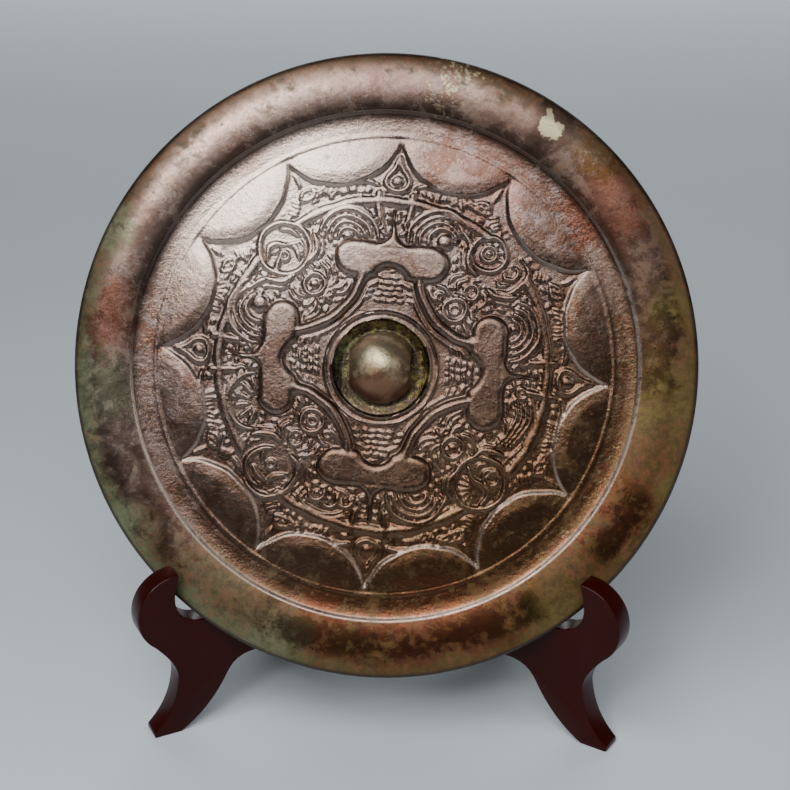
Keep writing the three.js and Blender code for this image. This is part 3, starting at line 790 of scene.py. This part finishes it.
def close_behind(flat, height, faces, edge):
    """Adds the faces of the outer edge and of the polished back. Returns all points in their place."""
    outline = flat[edge:]
    count = len(outline)
    x, y, z = [flat[:, 0]], [flat[:, 1]], [height]
    previous, start = edge, len(flat)
    for radius, level in ((MIRROR_RADIUS, 0.35), (MIRROR_RADIUS - 0.35, 0), (MIRROR_RADIUS - 6, 0),
                          (60, 0), (20, 0)):
        x.append(outline[:, 0] * radius / MIRROR_RADIUS)
        y.append(outline[:, 1] * radius / MIRROR_RADIUS)
        z.append(np.full(count, level))
        faces += [(previous + i, previous + (i + 1) % count, start + (i + 1) % count, start + i)
                  for i in range(count)]
        previous, start = start, start + count
    faces.append(tuple(previous + i for i in range(count)))
    return place_on_mirror(np.concatenate(x), np.concatenate(y), np.concatenate(z))


def keep_on_face(mirror, name, values):
    """Keeps a value for each point of the cast face in the mesh. On the back it is 0."""
    whole = np.zeros(len(mirror.data.vertices), np.float32)
    whole[:len(values)] = values
    mirror.data.attributes.new(name, "FLOAT", "POINT").data.foreach_set("value", whole)


def cord_tunnel():
    """The arched tunnel through the knob, from left to right, wider at its two mouths."""
    sections = []
    for x, half, height in TUNNEL_SECTIONS:
        arch = [(-half, -0.6), (half, -0.6)]
        arch += [(half * math.cos(angle), height - half + half * math.sin(angle))
                 for angle in np.linspace(0, math.pi, 17)]
        sections.append([(x, y + KNOB_SHIFT[1], GROUND + z) for y, z in arch])
    return tube_between("tunnel", sections)


def hollows(height, starts, rings):
    """How far each point lies below what is round it, in millimetres."""
    values = []
    for number, (radius, count) in enumerate(rings):
        row = height[starts[number + 1]: starts[number + 1] + count]
        reach = max(1, int(HOLLOW_REACH * count / (2 * math.pi * radius)))
        around = sum(np.roll(row, k) for k in range(-reach, reach + 1)) / (2 * reach + 1)
        values.append(around)
    result = [np.zeros(1)]
    for number, (radius, count) in enumerate(rings):
        total, weight = np.zeros(count), 0
        for other in range(max(0, number - 2), min(len(rings), number + 3)):
            row = values[other]
            factor = len(row) / count
            if factor >= 1:
                row = row[::int(factor)]
            else:
                row = np.repeat(row, int(1 / factor))
            total += row
            weight += 1
        own = height[starts[number + 1]: starts[number + 1] + count]
        result.append(total / weight - own)
    return np.concatenate(result)


class Link:
    """A socket of a material that takes part in sums like a number."""

    def __init__(self, recipe, socket):
        self.recipe = recipe
        self.socket = socket

    def _sum(self, operation, a, b):
        return self.recipe.node("ShaderNodeMath", {"operation": operation}, {0: a, 1: b}).out(0)

    def __add__(self, other):
        return self._sum("ADD", self, other)

    __radd__ = __add__

    def __mul__(self, other):
        return self._sum("MULTIPLY", self, other)

    __rmul__ = __mul__

    def __sub__(self, other):
        return self._sum("SUBTRACT", self, other)

    def __rsub__(self, other):
        return self._sum("SUBTRACT", other, self)

    def __truediv__(self, other):
        return self._sum("DIVIDE", self, other)

    def __rtruediv__(self, other):
        return self._sum("DIVIDE", other, self)

    def __pow__(self, other):
        return self._sum("POWER", self, other)


class Made:
    """A node that has been made, with its outputs."""

    def __init__(self, recipe, node):
        self.recipe = recipe
        self.node = node

    def out(self, name):
        return Link(self.recipe, self.node.outputs[name])


class Recipe:
    """A material that is put together from nodes."""

    def __init__(self, name):
        self.material = bpy.data.materials.new(name)
        self.material.use_nodes = True
        self.tree = self.material.node_tree
        self.tree.nodes.clear()
        self.shader = self.node("ShaderNodeBsdfPrincipled", {}, {})
        self.node("ShaderNodeOutputMaterial", {}, {"Surface": self.shader.out("BSDF")})

    def node(self, kind, settings, sockets):
        """Adds a node: its settings first, then the values or links of its sockets."""
        node = self.tree.nodes.new(kind)
        for name, value in settings.items():
            setattr(node, name, value)
        for name, value in sockets.items():
            self.feed(node, name, value)
        return Made(self, node)

    def feed(self, node, name, value):
        """Links a socket, or sets its value."""
        if isinstance(value, Link):
            self.tree.links.new(value.socket, node.inputs[name])
        else:
            node.inputs[name].default_value = value

    def finish(self, name, value):
        """Sets a socket of the shader."""
        self.feed(self.shader.node, name, value)

    def noise(self, place, scale, detail=4, rough=0.55, warp=0.0):
        """A cloudy pattern from 0 to 1."""
        return self.node("ShaderNodeTexNoise", {"noise_dimensions": "3D"}, {
            "Vector": place, "Scale": scale, "Detail": detail, "Roughness": rough, "Distortion": warp,
        }).out("Fac")

    def place(self):
        """The place of a point in the frame."""
        return self.node("ShaderNodeTexCoord", {}, {}).out("Object")

    def attribute(self, name):
        """A value that is kept in the mesh."""
        return self.node("ShaderNodeAttribute", {"attribute_name": name}, {}).out("Fac")

    def step(self, value, low, high, top=1.0):
        """A soft step of a value between two limits, from 0 to the top."""
        return self.node("ShaderNodeMapRange", {"interpolation_type": "SMOOTHSTEP", "clamp": True}, {
            "Value": value, "From Min": low, "From Max": high, "To Min": 0.0, "To Max": top,
        }).out("Result")

    def mix(self, share, a, b):
        """A mix of two colours."""
        return self.node("ShaderNodeMix", {"data_type": "RGBA", "clamp_factor": True}, {
            0: share, 6: a, 7: b,
        }).out(2)

    def bump(self, height, strength, distance, normal=None):
        """The normal of a surface with a fine relief."""
        sockets = {"Height": height, "Strength": strength, "Distance": distance}
        if normal is not None:
            sockets["Normal"] = normal
        return self.node("ShaderNodeBump", {}, sockets).out("Normal")


def colour(red, green, blue):
    """A colour given as it looks on a screen, from 0 to 255, as the light values that nodes take."""
    parts = [value / 255 for value in (red, green, blue)]
    return tuple(p / 12.92 if p <= 0.04045 else ((p + 0.055) / 1.055) ** 2.4 for p in parts) + (1.0,)


class CastBronze(Recipe):
    """Old bronze: brown metal with a grey skin and a painted sheen, olive patina, reddish patches, dirt and
    painted shade in the hollows, and painted highlights.

    It is painted coat by coat. Places on it are in millimetres, from the middle of the mirror's back.
    """

    def __init__(self, look):
        super().__init__("old_bronze")
        self.look = look
        self.face = self.node("ShaderNodeMapping", {"vector_type": "TEXTURE"}, {
            "Vector": self.place(), "Location": MIRROR_CENTRE,
            "Rotation": (math.pi / 2 - LEAN, 0, 0), "Scale": (MM, MM, MM),
        }).out("Vector")
        axes = self.node("ShaderNodeSeparateXYZ", {}, {"Vector": self.face})
        self.x, self.y, self.z = axes.out("X"), axes.out("Y"), axes.out("Z")
        self.flat = self.node("ShaderNodeCombineXYZ", {}, {"X": self.x, "Y": self.y}).out("Vector")
        self.radius = self.node("ShaderNodeVectorMath", {"operation": "LENGTH"}, {0: self.flat}).out("Value")

        self.cloud = self.noise(self.face, 0.09, 4, 0.65, 0.6)
        self.blotch = self.noise(self.face, 0.28, 5, 0.7, 0.3)
        self.mottle = self.noise(self.face, 0.5, 4, 0.7)
        self.grain = self.noise(self.face, 1.3, 3, 0.8)
        self.ragged = (self.cloud + self.blotch - 1.0) * 1.5

        self.cast_side = self.step(self.z, 0.4, 1.3)
        self.low_right = self.step(self.x * 0.5 - self.y * 0.85, -35.0, 75.0)
        self.rim = self.step(self.radius, 78, 83)
        self.rim_edge = self.step(self.radius + 5.0 * self.ragged, 92, 98)
        self.cast_skin = 1.0 - 0.75 * self.rim
        self.knob = self.step(self.z, 5.0, 9.5) * self.step(self.radius, 15.0, 13.0)
        self.hollow = self.attribute("hollow")
        # Where dirt and painted shade lie in the hollows
        self.dirt_and_shade_share = self.step(self.hollow, 0.1, 0.46)
        # Painted highlight lines on sharp edges, broken into flecks
        self.painted_highlight = self.attribute("painted_highlight") * self.flecks(0.28, 0.48)
        self.green = self.share_of_patina()
        self.pale = self.pale_patches()

        self.paint = self.mix(self.step(self.cloud, 0.36, 0.64), look.bronze_dark, look.bronze_light)
        self.lay_metal()
        self.lay_patina()
        self.lay_dirt_and_shade()
        self.lay_worn_places()
        self.set_surface()

    def lay(self, share, coat):
        """Lays a coat over the paint so far."""
        self.paint = self.mix(share, self.paint, coat)

    def flecks(self, low, high):
        """Breaks a coat into flecks."""
        return self.step(self.mottle, low, high)

    def distance_from(self, place):
        """The distance from a place on the face."""
        away = self.node("ShaderNodeVectorMath", {"operation": "DISTANCE"}, {0: self.flat, 1: place})
        return away.out("Value")

    def spot(self, x, y, reach, strength=1.0):
        """A patch with a ragged edge."""
        return self.step(self.distance_from((x, y, 0.0)) / reach + self.ragged, 1.0, 0.4, strength)

    def spots(self, patches):
        """All patches of a list."""
        return sum(self.spot(*patch) for patch in patches)

    def share_of_patina(self):
        """How green each place is."""
        round_knob = self.step(self.radius, 22.0, 17.0) * self.cast_side
        wanted = 0.15 * self.spots(OLIVE_PATCHES) + 0.06 * round_knob + 0.05 * self.rim
        wanted = wanted + 0.05 * self.low_right + 0.04 * self.rim_edge
        return self.step(self.cloud * 0.5 + self.blotch * 0.5 + wanted, 0.56, 0.72)

    def pale_patches(self):
        """The pale hook at the upper right, and the pale specks above it."""
        hook = self.step(self.spot(53, 78, 5) - 1.4 * self.spot(55.5, 80, 3.6), 0.2, 0.5)
        specks = self.spot(23, 90, 12) * self.flecks(0.5, 0.62) * 0.8
        return (hook * self.flecks(0.3, 0.4) + specks) * self.cast_side

    def lay_metal(self):
        """The grey skin, the silvery skin with a painted sheen, the warmer lower right with painted shade,
        dark patches of painted shade, and the reddish patches.
        """
        look = self.look
        self.lay(self.step(self.blotch, 0.48, 0.66) * 0.5, look.bronze_grey)
        # The silvery skin at the upper left, which is also a painted sheen where the sheen light falls
        pale_skin_and_sheen = self.step(self.distance_from(SHEEN_PLACE) / SHEEN_REACH + self.ragged * 0.25, 1.0, 0.3)
        self.lay(pale_skin_and_sheen * (1.0 - 0.8 * self.rim) * 0.8, look.pale_bronze_and_sheen)
        # Browner, darker metal towards the lower right, with golden and red streaks on the rim: partly
        # patina, partly painted shade
        streaks = self.mix(self.step(self.blotch, 0.44, 0.56), look.bronze_red, look.bronze_gold)
        warm = self.mix(0.25 + 0.65 * self.rim * self.flecks(0.35, 0.6), look.bronze_warm, streaks)
        self.lay(self.low_right * (0.6 + 0.5 * self.cloud), warm)
        # Painted shade: a darker patch on the rim at the upper right
        self.lay(self.spot(46, 76, 34) * 0.6, look.bronze_dark)
        # Darker flecks on the upper half of the rim: mottling, and painted shade
        upper_rim_flecked_shade = self.rim * self.step(self.y, 0.0, 40.0) * self.flecks(0.32, 0.6)
        self.lay(upper_rim_flecked_shade * 0.45, look.bronze_dark)
        # Painted shade on the leaf pads
        self.lay(self.step(self.z, 3.2, 3.5) * self.spots(PAINTED_SHADE_ON_LEAVES) * 0.45, look.bronze_dark)
        red = self.spots(RED_PATCHES) + self.spot(80, -44, 20) * self.flecks(0.4, 0.55)
        self.lay(red * (0.3 + 0.4 * self.blotch), look.bronze_red)

    def lay_patina(self):
        """The olive coat with reddish specks, the darker outer edge, and the greenest patches."""
        look = self.look
        lighter = self.mix(self.step(self.x, 10.0, -70.0), look.patina_light, look.patina_green)
        olive = self.mix(0.3 + 0.6 * self.flecks(0.4, 0.6), look.patina_dark, lighter)
        specks = self.step(self.noise(self.face, 0.5, 5, 0.8), 0.47, 0.58)
        self.lay(self.green * 0.75, self.mix(specks * 0.6, olive, look.bronze_red))
        edge = self.mix(self.step(self.y + 25.0 * self.ragged, 10.0, 50.0), lighter, look.patina_dark)
        self.lay(self.rim_edge * 0.75, self.mix(self.flecks(0.5, 0.58) * 0.5, edge, look.bronze_red))
        stains = self.step(self.noise(self.face, 0.35, 5, 0.75), 0.52, 0.62)
        self.lay(self.rim * stains * 0.35, look.dirt_and_shade)
        self.lay(self.spot(66, 68, 11) * self.flecks(0.35, 0.5) * 0.8, look.patina_dark)
        self.fresh_green = self.mix(self.step(self.x, 10.0, -40.0), look.patina_yellow, look.patina_fresh)
        fresh = self.spots(GREEN_PATCHES) * self.rim * self.cast_side
        self.lay(fresh * (0.2 + 0.8 * self.flecks(0.36, 0.56)) * 0.6, self.fresh_green)

    def lay_dirt_and_shade(self):
        """Painted shade at the edge and on the inner side of the rim, dirt with painted shade in the
        hollows, and dirt, patina and the knob's painted shadow in the moat.
        """
        dirt_and_shade = self.look.dirt_and_shade
        # Painted shade on the outermost edge, where it turns away
        self.lay(self.step(self.radius, 98.3, 99.2) * 0.85, dirt_and_shade)
        # Painted shade on the upper part of the rim's inner wall
        shaded_inner_wall = self.step(self.radius, 78.4, 81.2) * self.step(self.radius, 85.0, 82.4)
        self.lay(shaded_inner_wall * self.step(self.y, -20.0, 30.0) * self.cast_side * 0.6, dirt_and_shade)
        # Dirt and painted shade in the hollows
        self.lay(self.dirt_and_shade_share * 0.48, dirt_and_shade)
        self.lay(self.spot(55, 77, 12) * self.cast_side * self.flecks(0.25, 0.45) * 0.8, dirt_and_shade)
        moat = self.step(self.radius, 16.2, 14.8) * self.step(self.z, 7.0, 3.0) * self.cast_side
        filling = self.mix(self.step(self.mottle + 0.3 * self.cloud, 0.56, 0.76), dirt_and_shade, self.fresh_green)
        # Painted shadow of the knob on the lower side of the moat
        shade_of_knob = self.step(self.y + 3.0 * self.mottle, -2.0, -12.0)
        self.lay(moat * 0.92, self.mix(shade_of_knob * 0.55, filling, dirt_and_shade))

    def lay_worn_places(self):
        """Worn crests and painted highlights on edges, the shiny knob painted lit above and shaded below,
        dust, and the pits of the casting.
        """
        look = self.look
        # Worn crests, lighter: wear, and a painted highlight that fades towards the lower right; then the
        # painted highlight lines
        worn_and_highlit = self.step(self.hollow * -1.0, 0.06, 0.3) * (0.2 - 0.1 * self.low_right)
        self.lay(worn_and_highlit + self.painted_highlight * 0.75, look.bronze_bright)
        # The shiny knob, its upper half painted lit and its lower half painted shade
        knob_lit_and_shaded = self.mix(self.step(self.y + 10.0 * self.ragged, 3.0, -6.0), look.knob_painted_lit, look.knob_painted_shade)
        self.lay(self.knob * 0.9, knob_lit_and_shaded)
        self.lay(self.knob * self.step(self.blotch, 0.62, 0.68), look.patina_green)
        dusty = self.step(self.noise(self.face, 0.8, 3, 0.9), 0.58, 0.64) * self.cast_skin
        dusty = dusty * self.step(self.noise(self.face, 0.024, 2, 0.6, 0.4), 0.3, 0.6)
        self.lay(dusty * 0.5 + self.pale, look.dust)
        self.lay(self.step(self.grain, 0.42, 0.3) * (0.2 + 0.5 * self.cast_skin), look.dirt_and_shade)

    def set_surface(self):
        """Passes the paint on to the shader, with its gloss and its grain."""
        self.finish("Base Color", self.paint)
        self.finish("Metallic", 0.96 - 0.4 * self.green - 0.3 * self.dirt_and_shade_share - 0.5 * self.pale
                    - 0.25 * self.rim_edge - 0.35 * self.painted_highlight)
        self.finish("Roughness", 0.15 + 0.12 * self.cloud + 0.2 * self.green + 0.15 * self.dirt_and_shade_share
                    + 0.08 * self.grain + 0.12 * self.knob + 0.2 * self.rim_edge)
        self.finish("Coat Weight", 0.1)
        self.finish("Coat Roughness", 0.25)
        skin = self.bump((self.grain + self.noise(self.face, 0.6, 2, 0.6)) * self.cast_skin, 0.3, 0.0003)
        self.finish("Normal", self.bump(self.noise(self.face, 0.06, 2, 0.5), 0.1, 0.002, skin))


def lacquer_material(look):
    """Dark maroon lacquer with a high gloss."""
    made = Recipe("maroon_lacquer")
    cloud = made.noise(made.place(), 40.0, 3, 0.5)
    made.finish("Base Color", made.mix(cloud, look.lacquer_dark, look.lacquer_light))
    made.finish("Roughness", 0.26 + 0.08 * cloud)
    made.finish("Specular IOR Level", 0.12)
    made.finish("Coat Weight", 0.06)
    made.finish("Coat Roughness", 0.1)
    made.finish("Normal", made.bump(cloud, 0.1, 0.0003))
    return made.material


def floor_material(look):
    """A plain pale floor, a little mottled like paper."""
    made = Recipe("pale_floor")
    cloud = made.noise(made.place(), 3.0, 3, 0.5)
    made.finish("Base Color", made.mix(cloud * 0.1, look.floor_colour, (1.0, 1.0, 1.0, 1.0)))
    made.finish("Roughness", 0.85)
    return made.material


def back_of_mirror(height):
    """How far behind the toe the inner face of a board meets the back of the mirror, at a height."""
    slope = math.cos(BOARD_ANGLE) / math.tan(LEAN)
    start = MIRROR_CENTRE.z / MM - MIRROR_BEHIND_TOES / math.tan(LEAN)
    return (height - start) / slope + FIT_GAP / math.cos(BOARD_ANGLE)


def board_outline():
    """The side view of a board: distance behind its toe, and height, in millimetres."""
    front_edge, front_top = back_of_mirror(NOTCH_FLOOR), back_of_mirror(UPRIGHT_HEIGHT)
    back_top = front_top + UPRIGHT_WIDTH
    path = [(0, 0), (SOLE_LENGTH, 0)]

    def bend(via, to, steps=12):
        start = path[-1]
        for t in np.linspace(0, 1, steps + 1)[1:]:
            path.append(tuple((1 - t) ** 2 * a + 2 * t * (1 - t) * b + t * t * c
                              for a, b, c in zip(start, via, to)))

    def turn(centre, radius, start, end, steps):
        for a in np.linspace(start, end, steps + 1):
            path.append((centre[0] + radius * math.cos(a), centre[1] + radius * math.sin(a)))

    bend((19.5, 5.5), (26.3, ARCH_HEIGHT - 5.8))
    bend((29.3, ARCH_HEIGHT - 0.2), (36, ARCH_HEIGHT), 6)
    path.append((BOARD_LENGTH - 36, ARCH_HEIGHT))
    bend((BOARD_LENGTH - 29.3, ARCH_HEIGHT - 0.2), (BOARD_LENGTH - 26.3, ARCH_HEIGHT - 5.8), 6)
    bend((BOARD_LENGTH - 19.5, 5.5), (BOARD_LENGTH - SOLE_LENGTH, 0))
    path.append((BOARD_LENGTH, 0))
    bend((BOARD_LENGTH - 8, 8), (BOARD_LENGTH - 9, 20))
    bend((BOARD_LENGTH - 10, 38), (BOARD_LENGTH - 26, BOARD_TOP - 4))
    bend((BOARD_LENGTH - 32, BOARD_TOP), (BOARD_LENGTH - 42, BOARD_TOP), 6)
    path.append((back_top + 6, BOARD_TOP))
    bend((back_top - 4, BOARD_TOP + 2), (back_top - 2, UPRIGHT_HEIGHT - 12), 8)
    bend((back_top, UPRIGHT_HEIGHT + 3), (front_top + 4, UPRIGHT_HEIGHT + 2), 8)
    bend((front_top + 1, UPRIGHT_HEIGHT + 1.4), (front_top, UPRIGHT_HEIGHT), 4)
    path.append((front_edge, NOTCH_FLOOR))
    turn((NOTCH_DEPTH, NOTCH_FLOOR + NOTCH_RADIUS), NOTCH_RADIUS, -math.pi / 2, -math.pi, 10)
    bend((NOTCH_DEPTH - NOTCH_RADIUS, 53), (HOOK_DEPTH + 0.7, HOOK_HEIGHT + HOOK_RADIUS), 8)
    turn((HOOK_DEPTH, HOOK_HEIGHT), HOOK_RADIUS, math.pi / 2, math.radians(230.4), 22)
    bend((WAIST_DEPTH, 26), (WAIST_DEPTH, WAIST_HEIGHT), 8)
    bend((WAIST_DEPTH - 1, 9), (0, 1.8))
    kept = [path[0]]
    for point in path[1:]:
        if math.dist(point, kept[-1]) > 0.15:
            kept.append(point)
    return kept


def place_on_board(side, along, height, across):
    """A point of a board, in millimetres, in its place in the frame, in metres."""
    sine, cosine = math.sin(BOARD_ANGLE), math.cos(BOARD_ANGLE)
    x = side * TOE_SPREAD / 2 - side * sine * along + side * cosine * across
    y = cosine * along + sine * across
    return (x * MM, (y + TOE_LINE) * MM, height * MM)


def prism(name, side, outline, low, high):
    """An upright plate from a closed outline, between two distances across a board."""
    count = len(outline)
    points = [place_on_board(side, s, h, low) for s, h in outline]
    points += [place_on_board(side, s, h, high) for s, h in outline]
    faces = [tuple(range(count)), tuple(range(2 * count - 1, count - 1, -1))]
    faces += [(i, (i + 1) % count, count + (i + 1) % count, count + i) for i in range(count)]
    piece = mesh_object(name, points, faces)
    face_outwards(piece)
    return piece


def bevel(piece, width, segments):
    """Rounds the sharp edges of a piece, by a width in millimetres."""
    modifier = piece.modifiers.new("arris", "BEVEL")
    modifier.width = width * MM
    modifier.segments = segments
    modifier.limit_method = "ANGLE"
    modifier.angle_limit = math.radians(40)
    modifier.harden_normals = False
    apply_modifiers(piece)


def mirror_seat():
    """The room of the mirror's edge in the notches, with a gap round it."""
    steps = 180
    outside = MIRROR_RADIUS + FIT_GAP
    profile = [(outside, -FIT_GAP), (outside, EDGE_THICKNESS + FIT_GAP),
               (MIRROR_RADIUS - 5, RIM_THICKNESS + FIT_GAP)]
    points, faces = [], []
    for radius, height in profile:
        for i in range(steps):
            a = 2 * math.pi * i / steps
            points.append((radius * math.sin(a), radius * math.cos(a), height))
    for ring in range(len(profile) - 1):
        for i in range(steps):
            j = (i + 1) % steps
            low, high = ring * steps, (ring + 1) * steps
            faces.append((low + i, low + j, high + j, high + i))
    faces.append(tuple(range(steps)))
    faces.append(tuple(range(3 * steps - 1, 2 * steps - 1, -1)))
    points = np.array(points)
    tool = mesh_object("seat", place_on_mirror(points[:, 0], points[:, 1], points[:, 2]), faces)
    face_outwards(tool)
    return tool


def stand_board(side, node, material):
    """One board of the stand, halved where it crosses the other."""
    board = prism(node.replace("stand", "lacquered"), side, board_outline(), 0, BOARD_THICKNESS)
    bevel(board, ARRIS, 3)
    crossing = TOE_SPREAD / 2 / math.sin(BOARD_ANGLE)
    middle = (ARCH_HEIGHT + BOARD_TOP) / 2
    low, high = (middle - FIT_GAP / 2, 110) if side > 0 else (-10, middle + FIT_GAP / 2)
    left, right = crossing - 2 * BOARD_THICKNESS, crossing + 2 * BOARD_THICKNESS
    room = [(left, low), (right, low), (right, high), (left, high)]
    cut(board, prism("lap", -side, room, -FIT_GAP, BOARD_THICKNESS + FIT_GAP))
    cut(board, mirror_seat())
    shade(board, SHARP_WOOD, material)
    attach(board, "root")
    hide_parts(node)
    return board


def colour_property(name, description, red, green, blue):
    """A colour that can be changed in the panel, given as it looks on a screen."""
    return bpy.props.FloatVectorProperty(name=name, description=description, subtype="COLOR", size=4,
                                         min=0, max=1, default=colour(red, green, blue))


class MirrorLook(bpy.types.PropertyGroup):
    """Colours of the bronze."""

    bronze_dark: colour_property("Dark bronze", "Colour of the darker metal", 88, 66, 57)
    bronze_light: colour_property("Light bronze", "Colour of the lighter metal", 122, 103, 95)
    bronze_grey: colour_property("Grey bronze", "Colour of the grey skin on the metal", 118, 106, 108)
    # The silvery skin, which also carries the painted sheen at the upper left
    pale_bronze_and_sheen: colour_property("Silvery bronze", "Colour of the silvery metal at the upper left",
                                   188, 168, 156)
    # Also darker, as painted shade towards the lower right
    bronze_warm: colour_property("Warm bronze", "Colour of the browner metal at the lower right", 80, 54, 26)
    bronze_gold: colour_property("Golden bronze", "Colour of the golden olive metal on the rim", 106, 76, 20)
    bronze_red: colour_property("Red bronze", "Colour of the reddish patches", 116, 62, 42)
    # Worn metal on crests, and also the colour of the painted highlights along edges
    bronze_bright: colour_property("Worn bronze", "Colour where the work is rubbed", 180, 162, 150)
    patina_dark: colour_property("Dark patina", "Colour of the darker olive patina", 72, 50, 18)
    patina_light: colour_property("Light patina", "Colour of the lighter olive patina", 86, 68, 22)
    patina_green: colour_property("Green patina", "Colour of the greener patina on the left", 88, 98, 66)
    # The knob's painted lit upper half, and the painted shade on its lower half
    knob_painted_lit: colour_property("Knob", "Colour of the rubbed top of the knob", 176, 160, 130)
    knob_painted_shade: colour_property("Lower knob", "Colour of the lower side of the knob", 128, 92, 70)
    patina_yellow: colour_property("Yellow patina", "Colour of the yellow green patina on the right",
                                   98, 88, 42)
    patina_fresh: colour_property("Pale green patina", "Colour of the palest green patches", 100, 108, 82)
    # Also the painted shade at the outer edge, on the rim's inner wall, in the hollows and under the knob
    dirt_and_shade: colour_property("Dirt", "Colour of the dirt in the hollows", 50, 36, 28)
    dust: colour_property("Dust", "Colour of the pale specks", 152, 140, 108)


class StandLook(bpy.types.PropertyGroup):
    """Colours of the lacquered wood."""

    lacquer_dark: colour_property("Dark lacquer", "Colour of the darker places", 34, 4, 2)
    lacquer_light: colour_property("Light lacquer", "Colour of the lighter places", 56, 8, 4)


class StageLook(bpy.types.PropertyGroup):
    """The floor, the lights and the camera."""

    floor_colour: colour_property("Floor", "Colour of the floor", 196, 204, 210)
    floor_width: bpy.props.FloatProperty(
        name="Floor width", description="Width of the square floor", unit="LENGTH", min=1, default=12)
    sheen_power: bpy.props.FloatProperty(
        name="Sheen light", description="Power of the light that gives the metal its sheen", unit="POWER",
        min=0, default=4)
    front_power: bpy.props.FloatProperty(
        name="Front light", description="Power of the light above the front", unit="POWER",
        min=0, default=5.5)
    side_power: bpy.props.FloatProperty(
        name="Side light", description="Power of the weak light from the right", unit="POWER",
        min=0, default=2)
    back_power: bpy.props.FloatProperty(
        name="Back light", description="Power of the light over the floor behind", unit="POWER",
        min=0, default=60)


class CastMirror(bpy.types.Operator):
    """Makes the cast bronze mirror with its relief and its pierced knob"""

    bl_idname = "ancient_mirror.cast_mirror"
    bl_label = "Cast mirror"

    def execute(self, context):
        flat, height, faces, starts, rings = mirror_mesh()
        points = close_behind(flat, height, faces, starts[-1])
        mirror = mesh_object("cast_bronze_mirror", points, faces)
        face_outwards(mirror, split=True)
        keep_on_face(mirror, "hollow", hollows(height, starts, rings))
        keep_on_face(mirror, "painted_highlight", painted_highlight_lines(flat[:, 0], flat[:, 1]))
        cut(mirror, cord_tunnel())
        shade(mirror, SHARP_BRONZE, CastBronze(context.scene.mirror_look).material)
        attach(mirror, "root")
        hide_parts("mirror")
        return {"FINISHED"}


class BuildStand(bpy.types.Operator):
    """Makes the two lacquered boards of the stand"""

    bl_idname = "ancient_mirror.build_stand"
    bl_label = "Stand boards"

    def execute(self, context):
        material = lacquer_material(context.scene.stand_look)
        stand_board(-1, "stand_board_left", material)
        stand_board(1, "stand_board_right", material)
        return {"FINISHED"}


def area_light(name, place, target, size, power, tint):
    """A rectangular light that faces a target."""
    light = bpy.data.lights.new(name, "AREA")
    light.shape = "RECTANGLE"
    light.size, light.size_y = size
    light.energy = power
    light.color = tint
    lamp = bpy.data.objects.new(name, light)
    bpy.context.scene.collection.objects.link(lamp)
    lamp.location = place
    lamp.rotation_euler = (Vector(target) - Vector(place)).to_track_quat("-Z", "Y").to_euler()
    return lamp


class SetStage(bpy.types.Operator):
    """Sets up the floor, the lights and the camera"""

    bl_idname = "ancient_mirror.set_stage"
    bl_label = "Stage"

    def execute(self, context):
        look = context.scene.stage_look
        half = look.floor_width / 2
        corners = [(-half, -half, 0), (half, -half, 0), (half, half, 0), (-half, half, 0)]
        floor = mesh_object("floor", corners, [(0, 1, 2, 3)])
        floor.data.materials.append(floor_material(look))
        area_light("sheen_light", (-0.35, -1.02, 0.86), MIRROR_CENTRE, (0.31, 0.25), look.sheen_power,
                   WARM_WHITE)
        area_light("side_light", (0.95, -0.6, 0.7), MIRROR_CENTRE, (0.5, 0.7), look.side_power, AMBER_WHITE)
        area_light("front_light", (-0.1, -0.45, 0.62), (0, -0.35, 0), (0.7, 0.4), look.front_power,
                   COOL_WHITE)
        area_light("back_light", (0, 2.6, 1.4), (0, 2.5, 0), (3, 1.2), look.back_power, COOL_WHITE)
        world = bpy.data.worlds.new("pale_room")
        world.use_nodes = True
        background = world.node_tree.nodes["Background"]
        background.inputs["Color"].default_value = colour(196, 206, 214)
        background.inputs["Strength"].default_value = ROOM_STRENGTH
        context.scene.world = world
        self.set_camera(context.scene)
        return {"FINISHED"}

    def set_camera(self, scene):
        """The camera at the viewing angle of the photograph."""
        data = bpy.data.cameras.new("camera")
        data.sensor_width = SENSOR_WIDTH
        data.lens = FOCAL_PIXELS * SENSOR_WIDTH / PHOTO_PIXELS
        data.shift_x, data.shift_y = CAMERA_SHIFT
        data.clip_start = 0.01
        camera = bpy.data.objects.new("camera", data)
        scene.collection.objects.link(camera)
        facing = Vector(CAMERA_AIM).to_track_quat("-Z", "Y").to_matrix().to_4x4()
        roll = Matrix.Rotation(CAMERA_ROLL, 4, "Z")
        camera.matrix_world = Matrix.Translation(CAMERA_PLACE) @ facing @ roll
        scene.camera = camera


class MirrorPanel(bpy.types.Panel):
    """Lists the steps that make the mirror and its stand"""

    bl_idname = "VIEW3D_PT_ancient_mirror"
    bl_label = "Ancient bronze mirror"
    bl_space_type = "VIEW_3D"
    bl_region_type = "UI"
    bl_category = "Mirror"

    def draw(self, context):
        layout = self.layout
        for operator in OPERATORS:
            layout.operator(operator.bl_idname)
        for look in (context.scene.mirror_look, context.scene.stand_look, context.scene.stage_look):
            box = layout.box()
            for name in look.__annotations__:
                box.prop(look, name)


LOOKS = {"mirror_look": MirrorLook, "stand_look": StandLook, "stage_look": StageLook}
OPERATORS = (CastMirror, BuildStand, SetStage)


def register():
    for part in (*LOOKS.values(), *OPERATORS, MirrorPanel):
        bpy.utils.register_class(part)
    for name, look in LOOKS.items():
        setattr(bpy.types.Scene, name, bpy.props.PointerProperty(type=look))


def unregister():
    for name in LOOKS:
        delattr(bpy.types.Scene, name)
    for part in reversed((*LOOKS.values(), *OPERATORS, MirrorPanel)):
        bpy.utils.unregister_class(part)


def main():
    register()
    bpy.ops.ancient_mirror.set_stage()
    bpy.ops.ancient_mirror.build_stand()
    bpy.ops.ancient_mirror.cast_mirror()


if __name__ == "__main__":
    main()
